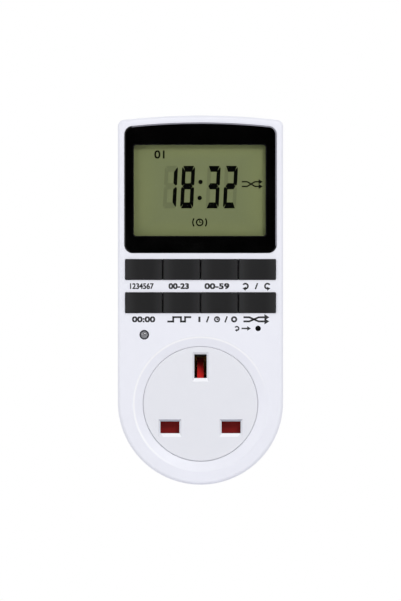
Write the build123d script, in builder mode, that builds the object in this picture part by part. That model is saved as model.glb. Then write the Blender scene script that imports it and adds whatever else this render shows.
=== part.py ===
from build123d import *
from math import cos, pi, sin, sqrt
import os

# Digital plug-in timer for a British three-pin outlet, in millimetres.
# The origin is on the wall face, behind the middle of the socket. The front
# faces -Y, +X is to the right as seen from the front, and +Z is up. A height
# is a distance in front of the wall face, so the plug pins have negative ones.

os.makedirs("parts", exist_ok=True)

# Housing
body_width = 60.0
body_top = 104.7
foot_rise = 0.7
crown_radius = 245.0
body_corner = 2.4
body_depth = 38.0
seam_height = 19.0
side_wall = 2.2
front_wall = 2.4
rear_wall = 2.4
front_edge = 0.8
rear_edge = 1.4
seam_line_depth = 0.35
seam_line_height = 0.4
tongue_length = 90.0
tongue_height = 1.6
tongue_gap = 0.1
sharpest_corner = 0.4

# Plug pins and socket apertures of the standard
pin_spacing = 22.2
earth_rise = 22.2
live_pin_width = 6.35
live_pin_height = 3.97
live_pin_length = 17.7
earth_pin_width = 3.97
earth_pin_height = 8.0
earth_pin_length = 22.7
pin_tip_chamfer = 1.1
sleeve_length = 9.5
sleeve_thickness = 0.5
live_line = -8.5

# Socket well and the insert that carries the apertures
well_radius = 24.7
insert_radius = 20.8
insert_gap = 0.15
insert_depth = 1.3
well_lip = 0.2
insert_thickness = 2.7
insert_edge = 0.3
module_margin = 2.8
module_sides = 24
live_slot_width = 6.9
live_slot_height = 4.3
earth_slot_width = 4.5
earth_slot_height = 8.6
lead_in = 0.75
lead_in_foot = 1.3
lead_in_depth = 0.8
collar_wall = 1.2
collar_reach = 1.9

# Safety shutter
shutter_gap = 0.2
shutter_thickness = 2.0
flap_margin = 0.35
flap_inner_margin = 0.75
flap_corner = 1.0
arm_width = 3.5
shutter_bar_height = 7.0
ramp_width = 2.4
ramp_rise = 7.4
ramp_drop = 4.7
ramp_spare = 0.3
ramp_root = 2.0
ramp_tip = 0.8
rail_width = 1.2
rail_gap = 0.2
rail_height = 2.0
rail_foot = -14.0
stop_length = 6.0
stop_x = 10.5
clamp_x = 20.0
spring_radius = 1.6
spring_wire = 0.23
spring_turns = 6
spring_chords = 8
spring_length = 13.4
spring_post_height = 2.0
spring_post_width = 5.6
spring_seat_height = 2.5
spring_head_room = 0.4

# Contact carrier
carrier_wall = 1.3
carrier_floor = 10.0
carrier_floor_thickness = 2.0
chamber_wall = 1.2
chamber_side = 0.45
chamber_gap = 0.35
cover_thickness = 1.5
cover_gap = 0.2
cover_slot_gap = 0.3
contact_thickness = 0.8
contact_grip = 0.08
contact_flare = 0.9
contact_bow = 0.6
contact_end_gap = 0.4
contact_mouth = 2.4
contact_heel = 4.0
contact_bend = 0.8
contact_side_gap = 0.8
strap_width = 4.4
strap_thickness = 0.8
strap_gap = 0.2
strap_start = 3.0
strap_drop = 29.2
strap_end = 34.2
strap_bend = 1.0
strap_step = 1.2
bus_bar_gap = 0.3
tail_side = 2.2
tail_head = 3.4
tail_head_height = 0.8

# Pin seats in the rear shell
pin_gap = 0.05
pin_boss_wall = 2.0
pin_boss_height = 2.6
pin_shoulder = 1.1
pin_shoulder_height = 2.6
carrier_post_side = 3.6

# Display
bezel_side_margin = 2.4
bezel_top_margin = 2.6
bezel_bottom = 54.8
bezel_corner = 3.0
bezel_sink = 1.0
bezel_proud = 0.5
bezel_edge = 0.4
bezel_gap = 0.1
window_side_margin = 3.7
window_height = 33.0
window_offset = -0.3
window_drop = 8.1
window_corner = 0.9
window_chamfer = 0.3
pane_overlap = 1.3
pane_thickness = 1.2
pane_gap = 0.1
lcd_overlap = 1.4
lcd_ledge = 3.6
reflector_thickness = 0.3
lcd_rear_glass = 1.2
lcd_front_glass = 1.6
holder_wall = 1.3
holder_lip = 0.7
holder_lip_thickness = 0.3
holder_gap = 0.12
holder_peg_side = 1.2
holder_stake_side = 2.0
zebra_width = 2.4
zebra_inset = 0.8
zebra_end_margin = 2.3
pane_to_lcd = 0.6

# Keys
keys_per_row = 4
key_side_margin = 2.57
key_slot_height = 7.6
key_row_gap = 2.2
key_row_pitch = 12.05
key_gap = 0.42
key_clearance = 0.2
key_proud = 0.9
key_dish = 0.3
key_rim = 0.5
key_edge = 0.25
key_flange = 0.9
key_flange_thickness = 1.2
key_stop_gap = 0.1
key_stem_width = 5.0
key_stem_height = 3.4
key_guide_wall = 1.0
key_guide_height = 1.7
mat_sheet = 1.0
mat_margin = 0.6
dome_height = 2.0
dome_spread = 1.0

# Reset button and indicator
reset_inset = 9.1
reset_z = 27.4
reset_hole_radius = 1.0
reset_switch_side = 6.0
reset_switch_height = 3.5
reset_button_radius = 1.7
reset_button_height = 2.4
reset_button_gap = 0.15
reset_bore_depth = 0.8
reset_dome_height = 0.4
led_inset = 9.6
led_z = 25.1
led_hole_radius = 1.75
led_radius = 1.5
led_flange_radius = 1.65
led_flange_height = 1.0
led_length = 5.2
led_proud = 0.8
led_lead = 0.5
led_lead_spacing = 1.6

# Circuit boards
board_thickness = 1.6
control_board_depth = 9.0
control_board_bottom = 19.5
control_board_gap = 1.2
board_clearance = 0.6
power_board_back = 4.8
power_board_bottom = 31.0
power_board_top = 93.5
power_board_margin = 2.0

# Screws and bosses
housing_screw_inset = 5.8
housing_screw_drop = 6.4
housing_boss_radius = 2.5
rear_boss_radius = 2.9
boss_gap = 0.1
boss_seam = 18.0
screw_radius = 1.2
screw_hole_radius = 1.4
pilot_radius = 1.25
pilot_spare = 1.0
screw_head_radius = 2.2
screw_head_height = 1.4
screw_cross = 0.5
thread_sides = 6
round_sides = 16
boss_sides = 8
recess_radius = 2.5
recess_depth = 2.0
housing_screw_length = 24.0
board_screw_length = 5.0
board_post_side = 3.6
board_peg_side = 2.0
stake_height = 0.8
small_screw_radius = 0.8
small_head_radius = 1.6
small_head_height = 1.1
small_pilot_radius = 0.85
small_hole_radius = 1.0
board_post_low_x = 9.0
board_post_low_rise = 3.2
board_post_top_x = 12.0
board_post_top_drop = 5.4
power_post_inset = 3.2
carrier_post_top = 13.5, 16.5
carrier_post_low = 7.0, -19.5

# Parts on the control board
chip_radius = 7.0
chip_height = 1.6
chip_bevel = 3.0
crystal_x = 12.0
crystal_z = 68.0
crystal_length = 11.0
crystal_width = 4.6
crystal_height = 3.5
cell_x = -8.0
cell_z = 84.0
cell_radius = 7.8
cell_thickness = 5.4
cell_edge = 0.6
tab_width = 5.0
tab_thickness = 0.2
tab_clearance = 0.8

# Parts on the power board
case_edge = 0.6
relay_inset = 11.3
relay_z = 50.6
relay_width = 12.6
relay_length = 28.8
relay_height = 15.7
dropper_inset = 9.8
dropper_width = 8.5
dropper_length = 18.0
dropper_height = 14.0
can_inset = 11.8
can_z = 70.0
can_radius = 5.0
can_height = 12.5
lead_width = 0.6
lead_reach = 2.0
bridge_x = 1.0
bridge_z = 71.0
bridge_width = 6.4
bridge_length = 8.4
bridge_height = 3.2
bridge_bottom = 7.4
bridge_leg_x = 5.0
bridge_leg_z = 7.0
resistor_columns = -6.0, 0.0
resistor_z = 57.0
resistor_radius = 1.9
resistor_length = 9.5
varistor_x = -2.0
varistor_z = 42.0
varistor_height = 12.2
varistor_radius = 4.5
varistor_thickness = 3.6
transistor_inset = 11.8
transistor_z = 71.0
transistor_radius = 2.3
transistor_bottom = 8.6
transistor_height = 4.5
transistor_pitch = 1.27
transistor_lead = 0.4
header_inset = 7.8
header_z = 82.0
header_pitch = 2.54
header_pins = 5
header_pin_side = 0.64

# Worked out from the sizes above
half_width = body_width / 2
front_inner = body_depth - front_wall
reset_x = half_width - reset_inset
led_x = led_inset - half_width
earth_line = live_line + earth_rise
live_x = pin_spacing / 2
control_board_front = body_depth - control_board_depth
insert_front = body_depth - insert_depth
well_floor = insert_front - well_lip
insert_back = insert_front - insert_thickness
module_radius = half_width - side_wall - module_margin
collar_back = insert_back - collar_reach
shutter_front = collar_back - shutter_gap
shutter_back = shutter_front - shutter_thickness
cover_front = shutter_back - shutter_gap
cover_back = cover_front - cover_thickness
carrier_floor_top = carrier_floor + carrier_floor_thickness
contact_base = carrier_floor_top + strap_thickness
pin_boss_top = rear_wall + pin_boss_height
pin_head = pin_boss_top + pin_shoulder_height
flap_bottom = live_line - live_slot_height / 2 - flap_margin
flap_top = live_line + live_slot_height / 2 + flap_margin
flap_outer = live_x + live_slot_width / 2 + flap_margin
flap_inner = live_x - live_slot_width / 2 - flap_inner_margin
arm_inner = flap_inner - arm_width
ramp_foot = earth_line - earth_pin_height / 2 - ramp_spare
ramp_top = ramp_foot + ramp_rise
ramp_channel_floor = shutter_front - ramp_drop - ramp_tip - shutter_gap
bar_top = ramp_foot
bar_bottom = bar_top - shutter_bar_height
spring_top = bar_bottom
spring_bottom = spring_top - spring_length
ramp_slot_bottom = bar_top - ramp_root - ramp_rise
spring_height = cover_front + spring_radius + spring_wire + shutter_gap
spring_post_top = insert_back - spring_head_room
bezel_width = body_width - 2 * bezel_side_margin
window_width = bezel_width - 2 * window_side_margin
bezel_top = body_top - bezel_top_margin
bezel_back = body_depth - bezel_sink
bezel_front = body_depth + bezel_proud
window_z = bezel_top - window_drop - window_height / 2
pane_back = bezel_back - pane_thickness
lcd_width = window_width + 2 * lcd_overlap
lcd_height = window_height + 2 * lcd_overlap
lcd_front = pane_back - pane_to_lcd
lcd_middle = lcd_front - lcd_front_glass
lcd_back = lcd_middle - lcd_rear_glass
holder_width = lcd_width + 2 * (holder_gap + holder_wall)
holder_height = lcd_height + 2 * (holder_gap + holder_wall)
zebra_line = lcd_height / 2 - zebra_inset - zebra_width / 2
zebra_length = lcd_width - 2 * zebra_end_margin
slot_width = body_width - 2 * key_side_margin
key_pitch = (slot_width - 2 * key_clearance + key_gap) / keys_per_row
key_width = key_pitch - key_gap
key_height = key_slot_height - 2 * key_clearance
upper_row = bezel_bottom - key_row_gap - key_slot_height / 2
lower_row = upper_row - key_row_pitch
key_front = body_depth + key_proud
key_flange_front = front_inner - key_stop_gap
key_flange_back = key_flange_front - key_flange_thickness
mat_top = control_board_front + mat_sheet
dome_top = mat_top + dome_height
mat_width = slot_width - 2 * mat_margin
guide_inner = key_height / 2 + key_flange + key_clearance
guide_outer = guide_inner + key_guide_wall
mat_height = key_row_pitch + 2 * guide_inner - 2 * mat_margin
control_board_back = control_board_front - board_thickness
power_board_front = power_board_back + board_thickness
resistor_axis = power_board_front + resistor_radius
power_board_side = half_width - side_wall - power_board_margin
relay_x = power_board_side - relay_inset
dropper_x = dropper_inset - power_board_side
can_x = can_inset - power_board_side
transistor_x = power_board_side - transistor_inset
header_x = power_board_side - header_inset
reset_bore_floor = control_board_front + reset_switch_height - reset_bore_depth
led_base = body_depth + led_proud - led_length

cell_front = control_board_back - tab_thickness
tab_back = cell_front - cell_thickness - tab_thickness / 2
tab_reach = cell_radius + tab_clearance

key_columns = [(column - (keys_per_row - 1) / 2) * key_pitch for column in range(keys_per_row)]
key_rows = {upper_row: "day hour minute recall".split(), lower_row: "clock timer mode random".split()}
housing_screw_side = half_width - housing_screw_inset
housing_screw_top = body_top - housing_screw_drop
housing_screw_low = sqrt((module_radius + rear_boss_radius + boss_gap) ** 2 - housing_screw_side**2)
board_post_low = board_post_low_x, module_radius + board_post_low_rise
board_post_top = board_post_top_x, body_top - board_post_top_drop
top_screws = [(-housing_screw_side, housing_screw_top), (housing_screw_side, housing_screw_top)]
low_screws = [(-housing_screw_side, housing_screw_low), (housing_screw_side, housing_screw_low)]
housing_screw_places = top_screws + low_screws
board_post_places = [(side * x, z) for x, z in (board_post_low, board_post_top) for side in (-1, 1)]
carrier_post_places = [(side * x, z) for x, z in (carrier_post_top, carrier_post_low) for side in (-1, 1)]
power_post_side = power_board_side - power_post_inset
bus_bar_x = power_post_side - board_post_side / 2 - bus_bar_gap - strap_width / 2
power_post_rows = (power_board_bottom + power_post_inset, power_board_top - power_post_inset)
power_post_places = [(side * power_post_side, z) for z in power_post_rows for side in (-1, 1)]
neutral_place = (-live_x, live_line)
line_place = (live_x, live_line)
earth_place = (0, earth_line)
live_places = [neutral_place, line_place]
mouths = [(x, z, live_slot_width, live_slot_height) for x, z in live_places]
mouths.append((0, earth_line, earth_slot_width, earth_slot_height))
peg_side = lcd_width / 2 + holder_gap + holder_wall / 2
peg_rows = [window_z - lcd_height / 4, window_z + lcd_height / 4]
holder_peg_places = [(window_offset + side * peg_side, z) for z in peg_rows for side in (-1, 1)]
header_steps = [step - (header_pins - 1) / 2 for step in range(header_pins)]
header_pin_places = [(header_x, header_z + step * header_pitch) for step in header_steps]


def at(height):
    """Plane parallel to the wall, at a height in front of it."""
    return Plane.XZ.offset(height)


def side_plane(x, z):
    """Upright plane square to the wall, drawn with height first and Z second."""
    return Plane(origin=(x, 0, z), x_dir=(0, -1, 0), z_dir=(-1, 0, 0))


def level_plane(z):
    """Level plane, drawn with height first and X second."""
    return Plane(origin=(0, 0, z), x_dir=(0, -1, 0), z_dir=(0, 0, 1))


def body_outline(inset):
    """Round foot, straight sides and crowned top of the housing, pulled in by inset."""
    side = half_width - inset
    top = body_top - inset
    crown = crown_radius - inset
    shoulder = top - crown + sqrt(crown**2 - side**2)
    with BuildSketch() as outline:
        with BuildLine():
            ThreePointArc((-side, shoulder), (0, top), (side, shoulder))
            Line((side, shoulder), (side, foot_rise))
            ThreePointArc((side, foot_rise), (0, foot_rise - side), (-side, foot_rise))
            Line((-side, foot_rise), (-side, shoulder))
        make_face()
        corners = outline.vertices().group_by(Axis.Y)[-1]
        fillet(corners, radius=max(body_corner - inset, sharpest_corner))
    return outline.sketch


def seam_line():
    """Band outside the wall that leaves a fine shadow line where the shells meet."""
    with BuildSketch() as band:
        add(body_outline(-seam_line_depth))
        add(body_outline(seam_line_depth), mode=Mode.SUBTRACT)
    return band.sketch


def tongue_outline(gap):
    """Straight ribs along the inside of both side walls, with a gap around them."""
    width = side_wall / 2 - tongue_gap + gap
    with BuildSketch() as ribs:
        with Locations((0, body_top / 2)):
            with GridLocations(body_width - 2 * side_wall + width, 0, 2, 1):
                Rectangle(width, tongue_length + 2 * gap)
    return ribs.sketch


def module_outline(inset):
    """Many-sided drum of the socket module, pulled in by inset."""
    with BuildSketch() as outline:
        RegularPolygon(module_radius - inset, module_sides)
    return outline.sketch


def bezel_outline(inset):
    """Crowned rectangle of the display bezel, pulled in by inset."""
    side = bezel_width / 2 - inset
    top = bezel_top - inset
    crown = crown_radius - bezel_top_margin - inset
    shoulder = top - crown + sqrt(crown**2 - side**2)
    with BuildSketch() as outline:
        with BuildLine():
            ThreePointArc((-side, shoulder), (0, top), (side, shoulder))
            foot = bezel_bottom + inset
            Polyline((side, shoulder), (side, foot), (-side, foot), (-side, shoulder))
        make_face()
        fillet(outline.vertices(), radius=bezel_corner - inset)
    return outline.sketch


def window_outline(grow):
    """Rectangle of the display window, grown all round."""
    with BuildSketch() as outline:
        with Locations((window_offset, window_z)):
            RectangleRounded(window_width + 2 * grow, window_height + 2 * grow, window_corner)
    return outline.sketch


def aperture_outline(grow):
    """The three socket apertures, grown all round."""
    with BuildSketch() as outline:
        with Locations(*live_places):
            Rectangle(live_slot_width + 2 * grow, live_slot_height + 2 * grow)
        with Locations((0, earth_line)):
            Rectangle(earth_slot_width + 2 * grow, earth_slot_height + 2 * grow)
    return outline.sketch


def pin_outline(grow):
    """The three plug pins in section, grown all round."""
    with BuildSketch() as outline:
        with Locations(*live_places):
            Rectangle(live_pin_width + 2 * grow, live_pin_height + 2 * grow)
        with Locations((0, earth_line)):
            Rectangle(earth_pin_width + 2 * grow, earth_pin_height + 2 * grow)
    return outline.sketch


def chamber_outline(grow):
    """Chambers of the three contacts, grown all round."""
    jaw = 2 * (contact_grip + contact_thickness + contact_flare + chamber_gap)
    side = 2 * chamber_side
    with BuildSketch() as outline:
        with Locations(*live_places):
            Rectangle(live_pin_width + side + 2 * grow, live_pin_height + jaw + 2 * grow)
        with Locations(earth_place):
            Rectangle(earth_pin_width + jaw + 2 * grow, earth_pin_height + side + 2 * grow)
    return outline.sketch


# Front shell: the tray that carries the display, the keys and the socket well
with BuildPart() as front_shell:
    with BuildSketch(at(seam_height)):
        add(body_outline(0))
    extrude(amount=body_depth - seam_height)
    chamfer(front_shell.faces().sort_by(Axis.Y)[0].edges(), length=front_edge)
    chamfer(front_shell.faces().sort_by(Axis.Y)[0].edges(), length=front_edge / 3)
    with BuildSketch(at(seam_height)):
        add(seam_line())
    extrude(amount=seam_line_height, mode=Mode.SUBTRACT)
    with BuildSketch(at(seam_height)):
        add(body_outline(side_wall))
    extrude(amount=front_inner - seam_height, mode=Mode.SUBTRACT)
    # Tongues that register in the rear shell
    with BuildSketch(at(seam_height - tongue_height)):
        add(tongue_outline(0))
    extrude(amount=tongue_height)
    # Posts for the housing screws and the control board
    with BuildSketch(at(boss_seam)):
        with Locations(*housing_screw_places):
            RegularPolygon(housing_boss_radius, boss_sides)
    extrude(amount=front_inner - boss_seam)
    with BuildSketch(at(control_board_front)):
        with Locations(*board_post_places):
            Rectangle(board_post_side, board_post_side)
    extrude(amount=front_inner - control_board_front)
    # Guides around both rows of keys
    with BuildSketch(at(front_inner - key_guide_height)):
        with Locations((0, upper_row), (0, lower_row)):
            Rectangle(slot_width, 2 * guide_outer)
            Rectangle(slot_width, 2 * guide_inner, mode=Mode.SUBTRACT)
    extrude(amount=key_guide_height)
    # Pilot holes
    with BuildSketch(at(boss_seam)):
        with Locations(*housing_screw_places):
            RegularPolygon(pilot_radius, thread_sides)
    extrude(amount=housing_screw_length + recess_depth - boss_seam + pilot_spare, mode=Mode.SUBTRACT)
    with BuildSketch(at(control_board_front)):
        with Locations(*board_post_places):
            RegularPolygon(small_pilot_radius, thread_sides)
    extrude(amount=board_screw_length, mode=Mode.SUBTRACT)
    # Dished socket well, with the hole that the insert looks through
    with BuildSketch(at(well_floor)):
        Circle(insert_radius + insert_gap)
    with BuildSketch(at(body_depth)):
        Circle(well_radius)
    loft(mode=Mode.SUBTRACT)
    with BuildSketch(at(front_inner)):
        Circle(insert_radius + insert_gap)
    extrude(amount=front_wall, mode=Mode.SUBTRACT)
    # Seat of the bezel, opening behind it, and slots for the keys
    with BuildSketch(at(bezel_back)):
        add(bezel_outline(-bezel_gap))
    extrude(amount=body_depth, mode=Mode.SUBTRACT)
    with BuildSketch(at(front_inner)):
        add(window_outline(pane_overlap + pane_gap))
    extrude(amount=body_depth, mode=Mode.SUBTRACT)
    with BuildSketch(at(front_inner)):
        with Locations((0, upper_row), (0, lower_row)):
            RectangleRounded(slot_width, key_slot_height, sharpest_corner)
        with Locations((led_x, led_z)):
            Circle(led_hole_radius)
        with Locations((reset_x, reset_z)):
            Circle(reset_hole_radius)
    extrude(amount=body_depth, mode=Mode.SUBTRACT)
front_shell.part.label = "front_shell"
export_step(front_shell.part, "parts/front_shell.step")

# Rear shell: the half on the wall, with the pin seats and the screw recesses
with BuildPart() as rear_shell:
    with BuildSketch(at(seam_height)):
        add(body_outline(0))
    extrude(amount=-seam_height)
    chamfer(rear_shell.faces().sort_by(Axis.Y)[-1].edges(), length=rear_edge)
    with BuildSketch(at(seam_height)):
        add(body_outline(side_wall))
    extrude(amount=rear_wall - seam_height, mode=Mode.SUBTRACT)
    with BuildSketch(at(seam_height)):
        add(tongue_outline(tongue_gap))
    extrude(amount=-tongue_height - tongue_gap, mode=Mode.SUBTRACT)
    with BuildSketch(at(rear_wall)):
        with Locations(*housing_screw_places):
            RegularPolygon(rear_boss_radius, boss_sides)
    extrude(amount=boss_seam - rear_wall)
    with BuildSketch(at(rear_wall)):
        add(pin_outline(pin_boss_wall))
    extrude(amount=pin_boss_height)
    with BuildSketch(at(rear_wall)):
        with Locations(*carrier_post_places):
            Rectangle(carrier_post_side, carrier_post_side)
    extrude(amount=carrier_floor - rear_wall)
    with BuildSketch(at(rear_wall)):
        with Locations(*power_post_places):
            Rectangle(board_post_side, board_post_side)
    extrude(amount=power_board_back - rear_wall)
    # Staked pegs that hold the power board
    with BuildSketch(at(power_board_back)):
        with Locations(*power_post_places):
            Rectangle(board_peg_side, board_peg_side)
    extrude(amount=board_thickness)
    with BuildSketch(at(power_board_front)):
        with Locations(*power_post_places):
            Rectangle(board_post_side, board_post_side)
    extrude(amount=stake_height)
    with BuildSketch(at(0)):
        add(pin_outline(pin_gap))
    extrude(amount=pin_boss_top, mode=Mode.SUBTRACT)
    with BuildSketch(at(0)):
        with Locations(*housing_screw_places):
            RegularPolygon(screw_hole_radius, thread_sides)
    extrude(amount=boss_seam, mode=Mode.SUBTRACT)
    with BuildSketch(at(0)):
        with Locations(*housing_screw_places):
            Circle(recess_radius)
    extrude(amount=recess_depth, mode=Mode.SUBTRACT)
rear_shell.part.label = "rear_shell"
export_step(rear_shell.part, "parts/rear_shell.step")

# Display bezel: glossy frame with a bevelled edge, let into the front
with BuildPart() as display_bezel:
    with BuildSketch(at(bezel_back)):
        add(bezel_outline(0))
    extrude(amount=bezel_front - bezel_back)
    chamfer(display_bezel.faces().sort_by(Axis.Y)[0].edges(), length=bezel_edge)
    with BuildSketch(at(bezel_back)):
        add(window_outline(0))
    extrude(amount=bezel_front - bezel_back, mode=Mode.SUBTRACT)
    rim = display_bezel.faces().sort_by(Axis.Y)[0].inner_wires()[0]
    chamfer(rim.edges(), length=window_chamfer)
display_bezel.part.label = "display_bezel"
export_step(display_bezel.part, "parts/display_bezel.step")

# Clear pane behind the bezel
with BuildPart() as display_window:
    with BuildSketch(at(pane_back)):
        add(window_outline(pane_overlap))
    extrude(amount=pane_thickness)
display_window.part.label = "display_window"
export_step(display_window.part, "parts/display_window.step")

# Liquid crystal cell: the front glass overhangs, so the rubber strips reach its contacts
with BuildPart() as lcd_panel:
    with BuildSketch(at(lcd_middle)):
        with Locations((window_offset, window_z)):
            Rectangle(lcd_width, lcd_height)
    extrude(amount=lcd_front_glass)
    with BuildSketch(at(lcd_back)):
        with Locations((window_offset, window_z)):
            Rectangle(lcd_width, lcd_height - 2 * lcd_ledge)
    extrude(amount=lcd_rear_glass)
lcd_panel.part.label = "lcd_panel"
export_step(lcd_panel.part, "parts/lcd_panel.step")

with BuildPart() as lcd_reflector:
    with BuildSketch(at(lcd_back)):
        with Locations((window_offset, window_z)):
            Rectangle(lcd_width, lcd_height - 2 * lcd_ledge)
    extrude(amount=-reflector_thickness)
lcd_reflector.part.label = "lcd_reflector"
export_step(lcd_reflector.part, "parts/lcd_reflector.step")

# Rubber connector strips between the control board and the cell
with BuildPart() as zebra_strips:
    with BuildSketch(at(control_board_front)):
        for side in (-1, 1):
            with Locations((window_offset, window_z + side * zebra_line)):
                Rectangle(zebra_length, zebra_width)
    extrude(amount=lcd_middle - control_board_front)
zebra_strips.part.label = "zebra_strips"
export_step(zebra_strips.part, "parts/zebra_strips.step")

# Frame that clamps the cell to the control board, with four staked pegs
with BuildPart() as lcd_holder:
    with BuildSketch(at(control_board_front)):
        with Locations((window_offset, window_z)):
            Rectangle(holder_width, holder_height)
            Rectangle(lcd_width + 2 * holder_gap, lcd_height + 2 * holder_gap, mode=Mode.SUBTRACT)
    extrude(amount=lcd_front - control_board_front)
    with BuildSketch(at(lcd_front)):
        with Locations((window_offset, window_z)):
            Rectangle(holder_width, holder_height)
            Rectangle(lcd_width - 2 * holder_lip, lcd_height - 2 * holder_lip, mode=Mode.SUBTRACT)
    extrude(amount=holder_lip_thickness)
    # Corners that clear the upper housing bosses
    with BuildSketch(at(control_board_front)):
        with Locations(*top_screws):
            notch = 2 * (housing_boss_radius + holder_gap)
            Rectangle(notch, notch)
    extrude(amount=front_inner - control_board_front, mode=Mode.SUBTRACT)
    with BuildSketch(at(control_board_back - stake_height)):
        with Locations(*holder_peg_places):
            Rectangle(holder_stake_side, holder_stake_side)
    extrude(amount=stake_height)
    with BuildSketch(at(control_board_back)):
        with Locations(*holder_peg_places):
            Rectangle(holder_peg_side, holder_peg_side)
    extrude(amount=board_thickness)
lcd_holder.part.label = "lcd_holder"
export_step(lcd_holder.part, "parts/lcd_holder.step")


def timer_key(x, z):
    """Key with a dished face, a flange that stops behind the front wall, and a stem."""
    dish_chord = key_width / 2 - key_rim
    dish_radius = (dish_chord**2 + key_dish**2) / (2 * key_dish)
    with BuildPart() as key:
        with BuildSketch(at(key_flange_front)):
            with Locations((x, z)):
                Rectangle(key_width, key_height)
        extrude(amount=key_front - key_flange_front)
        chamfer(key.faces().sort_by(Axis.Y)[0].edges(), length=key_edge)
        with BuildSketch(level_plane(z)):
            with Locations((key_front - key_dish + dish_radius, x)):
                Circle(dish_radius)
        extrude(amount=key_height, both=True, mode=Mode.SUBTRACT)
        with BuildSketch(at(key_flange_back)):
            with Locations((x, z)):
                Rectangle(key_width, key_height + 2 * key_flange)
        extrude(amount=key_flange_thickness)
        with BuildSketch(at(dome_top)):
            with Locations((x, z)):
                Rectangle(key_stem_width, key_stem_height)
        extrude(amount=key_flange_back - dome_top)
    return key


for row_z, names in key_rows.items():
    for column, name in enumerate(names):
        key = timer_key(key_columns[column], row_z)
        key.part.label = f"key_{name}"
        export_step(key.part, f"parts/key_{name}.step")

# Silicone mat with one collapsing dome under each key
with BuildPart() as keypad_mat:
    with BuildSketch(at(control_board_front)):
        with Locations((0, (upper_row + lower_row) / 2)):
            Rectangle(mat_width, mat_height)
    extrude(amount=mat_sheet)
    with BuildSketch(at(mat_top)):
        with Locations(*[(x, z) for z in key_rows for x in key_columns]):
            Rectangle(key_stem_width + 2 * dome_spread, key_stem_height + 2 * dome_spread)
    extrude(amount=dome_height)
    tops = keypad_mat.faces().group_by(Axis.Y)[0]
    chamfer(tops.edges(), length=dome_spread)
keypad_mat.part.label = "keypad_mat"
export_step(keypad_mat.part, "parts/keypad_mat.step")

# Reset switch on the control board, behind the pin hole
with BuildPart() as reset_switch:
    with BuildSketch(at(control_board_front)):
        with Locations((reset_x, reset_z)):
            Rectangle(reset_switch_side, reset_switch_side)
    extrude(amount=reset_switch_height)
    with BuildSketch(at(reset_bore_floor)):
        with Locations((reset_x, reset_z)):
            RegularPolygon(reset_button_radius + reset_button_gap, round_sides)
    extrude(amount=reset_bore_depth, mode=Mode.SUBTRACT)
reset_switch.part.label = "reset_switch"
export_step(reset_switch.part, "parts/reset_switch.step")

with BuildPart() as reset_snap_dome:
    with BuildSketch(at(reset_bore_floor)):
        with Locations((reset_x, reset_z)):
            RegularPolygon(reset_button_radius, round_sides)
    extrude(amount=reset_dome_height)
reset_snap_dome.part.label = "reset_snap_dome"
export_step(reset_snap_dome.part, "parts/reset_snap_dome.step")

with BuildPart() as reset_button:
    with BuildSketch(at(reset_bore_floor + reset_dome_height)):
        with Locations((reset_x, reset_z)):
            RegularPolygon(reset_button_radius, round_sides)
    extrude(amount=reset_button_height)
    chamfer(reset_button.faces().sort_by(Axis.Y)[0].edges(), length=key_edge)
reset_button.part.label = "reset_button"
export_step(reset_button.part, "parts/reset_button.step")

# Indicator lamp: flanged clear body with a blunt nose
with BuildPart() as indicator_led:
    with BuildSketch(at(led_base)):
        with Locations((led_x, led_z)):
            RegularPolygon(led_flange_radius, round_sides)
    extrude(amount=led_flange_height)
    with BuildSketch(at(led_base)):
        with Locations((led_x, led_z)):
            RegularPolygon(led_radius, round_sides)
    extrude(amount=led_length)
    chamfer(indicator_led.faces().sort_by(Axis.Y)[0].edges(), length=led_radius / 2)
indicator_led.part.label = "indicator_led"
export_step(indicator_led.part, "parts/indicator_led.step")

with BuildPart() as led_leads:
    with BuildSketch(at(control_board_front)):
        with Locations((led_x - led_lead_spacing / 2, led_z), (led_x + led_lead_spacing / 2, led_z)):
            Rectangle(led_lead, led_lead)
    extrude(amount=led_base - control_board_front)
led_leads.part.label = "led_leads"
export_step(led_leads.part, "parts/led_leads.step")

# Control board, shaped around the socket module and the housing bosses
with BuildPart() as control_board:
    with BuildSketch(at(control_board_back)):
        add(body_outline(side_wall + control_board_gap))
        with Locations((0, (control_board_bottom + body_top) / 2)):
            Rectangle(body_width, body_top - control_board_bottom, mode=Mode.INTERSECT)
        add(module_outline(-board_clearance), mode=Mode.SUBTRACT)
        with Locations(*top_screws):
            notch = 2 * (housing_boss_radius + board_clearance)
            Rectangle(notch, notch, mode=Mode.SUBTRACT)
        with Locations(*board_post_places):
            RegularPolygon(small_hole_radius, thread_sides, mode=Mode.SUBTRACT)
        with Locations(*holder_peg_places):
            Rectangle(holder_peg_side, holder_peg_side, mode=Mode.SUBTRACT)
    extrude(amount=board_thickness)
control_board.part.label = "control_board"
export_step(control_board.part, "parts/control_board.step")

# Bare chip under its low resin cap, on the board behind the cell
with BuildPart() as control_chip:
    with BuildSketch(at(control_board_front)):
        with Locations((window_offset, window_z)):
            RegularPolygon(chip_radius, round_sides)
    extrude(amount=chip_height)
    chamfer(control_chip.faces().sort_by(Axis.Y)[0].edges(), length=chip_height / 2, length2=chip_bevel)
control_chip.part.label = "control_chip"
export_step(control_chip.part, "parts/control_chip.step")

with BuildPart() as clock_crystal:
    with BuildSketch(at(control_board_back)):
        with Locations((crystal_x, crystal_z)):
            SlotOverall(crystal_length, crystal_width)
    extrude(amount=-crystal_height)
clock_crystal.part.label = "clock_crystal"
export_step(clock_crystal.part, "parts/clock_crystal.step")

# Rechargeable button cell that keeps the clock running, between two welded tabs
with BuildPart() as backup_battery:
    with BuildSketch(at(cell_front)):
        with Locations((cell_x, cell_z)):
            RegularPolygon(cell_radius, module_sides)
    extrude(amount=-cell_thickness)
    chamfer(backup_battery.faces().sort_by(Axis.Y)[-1].edges(), length=cell_edge)
backup_battery.part.label = "backup_battery"
export_step(backup_battery.part, "parts/backup_battery.step")

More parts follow.
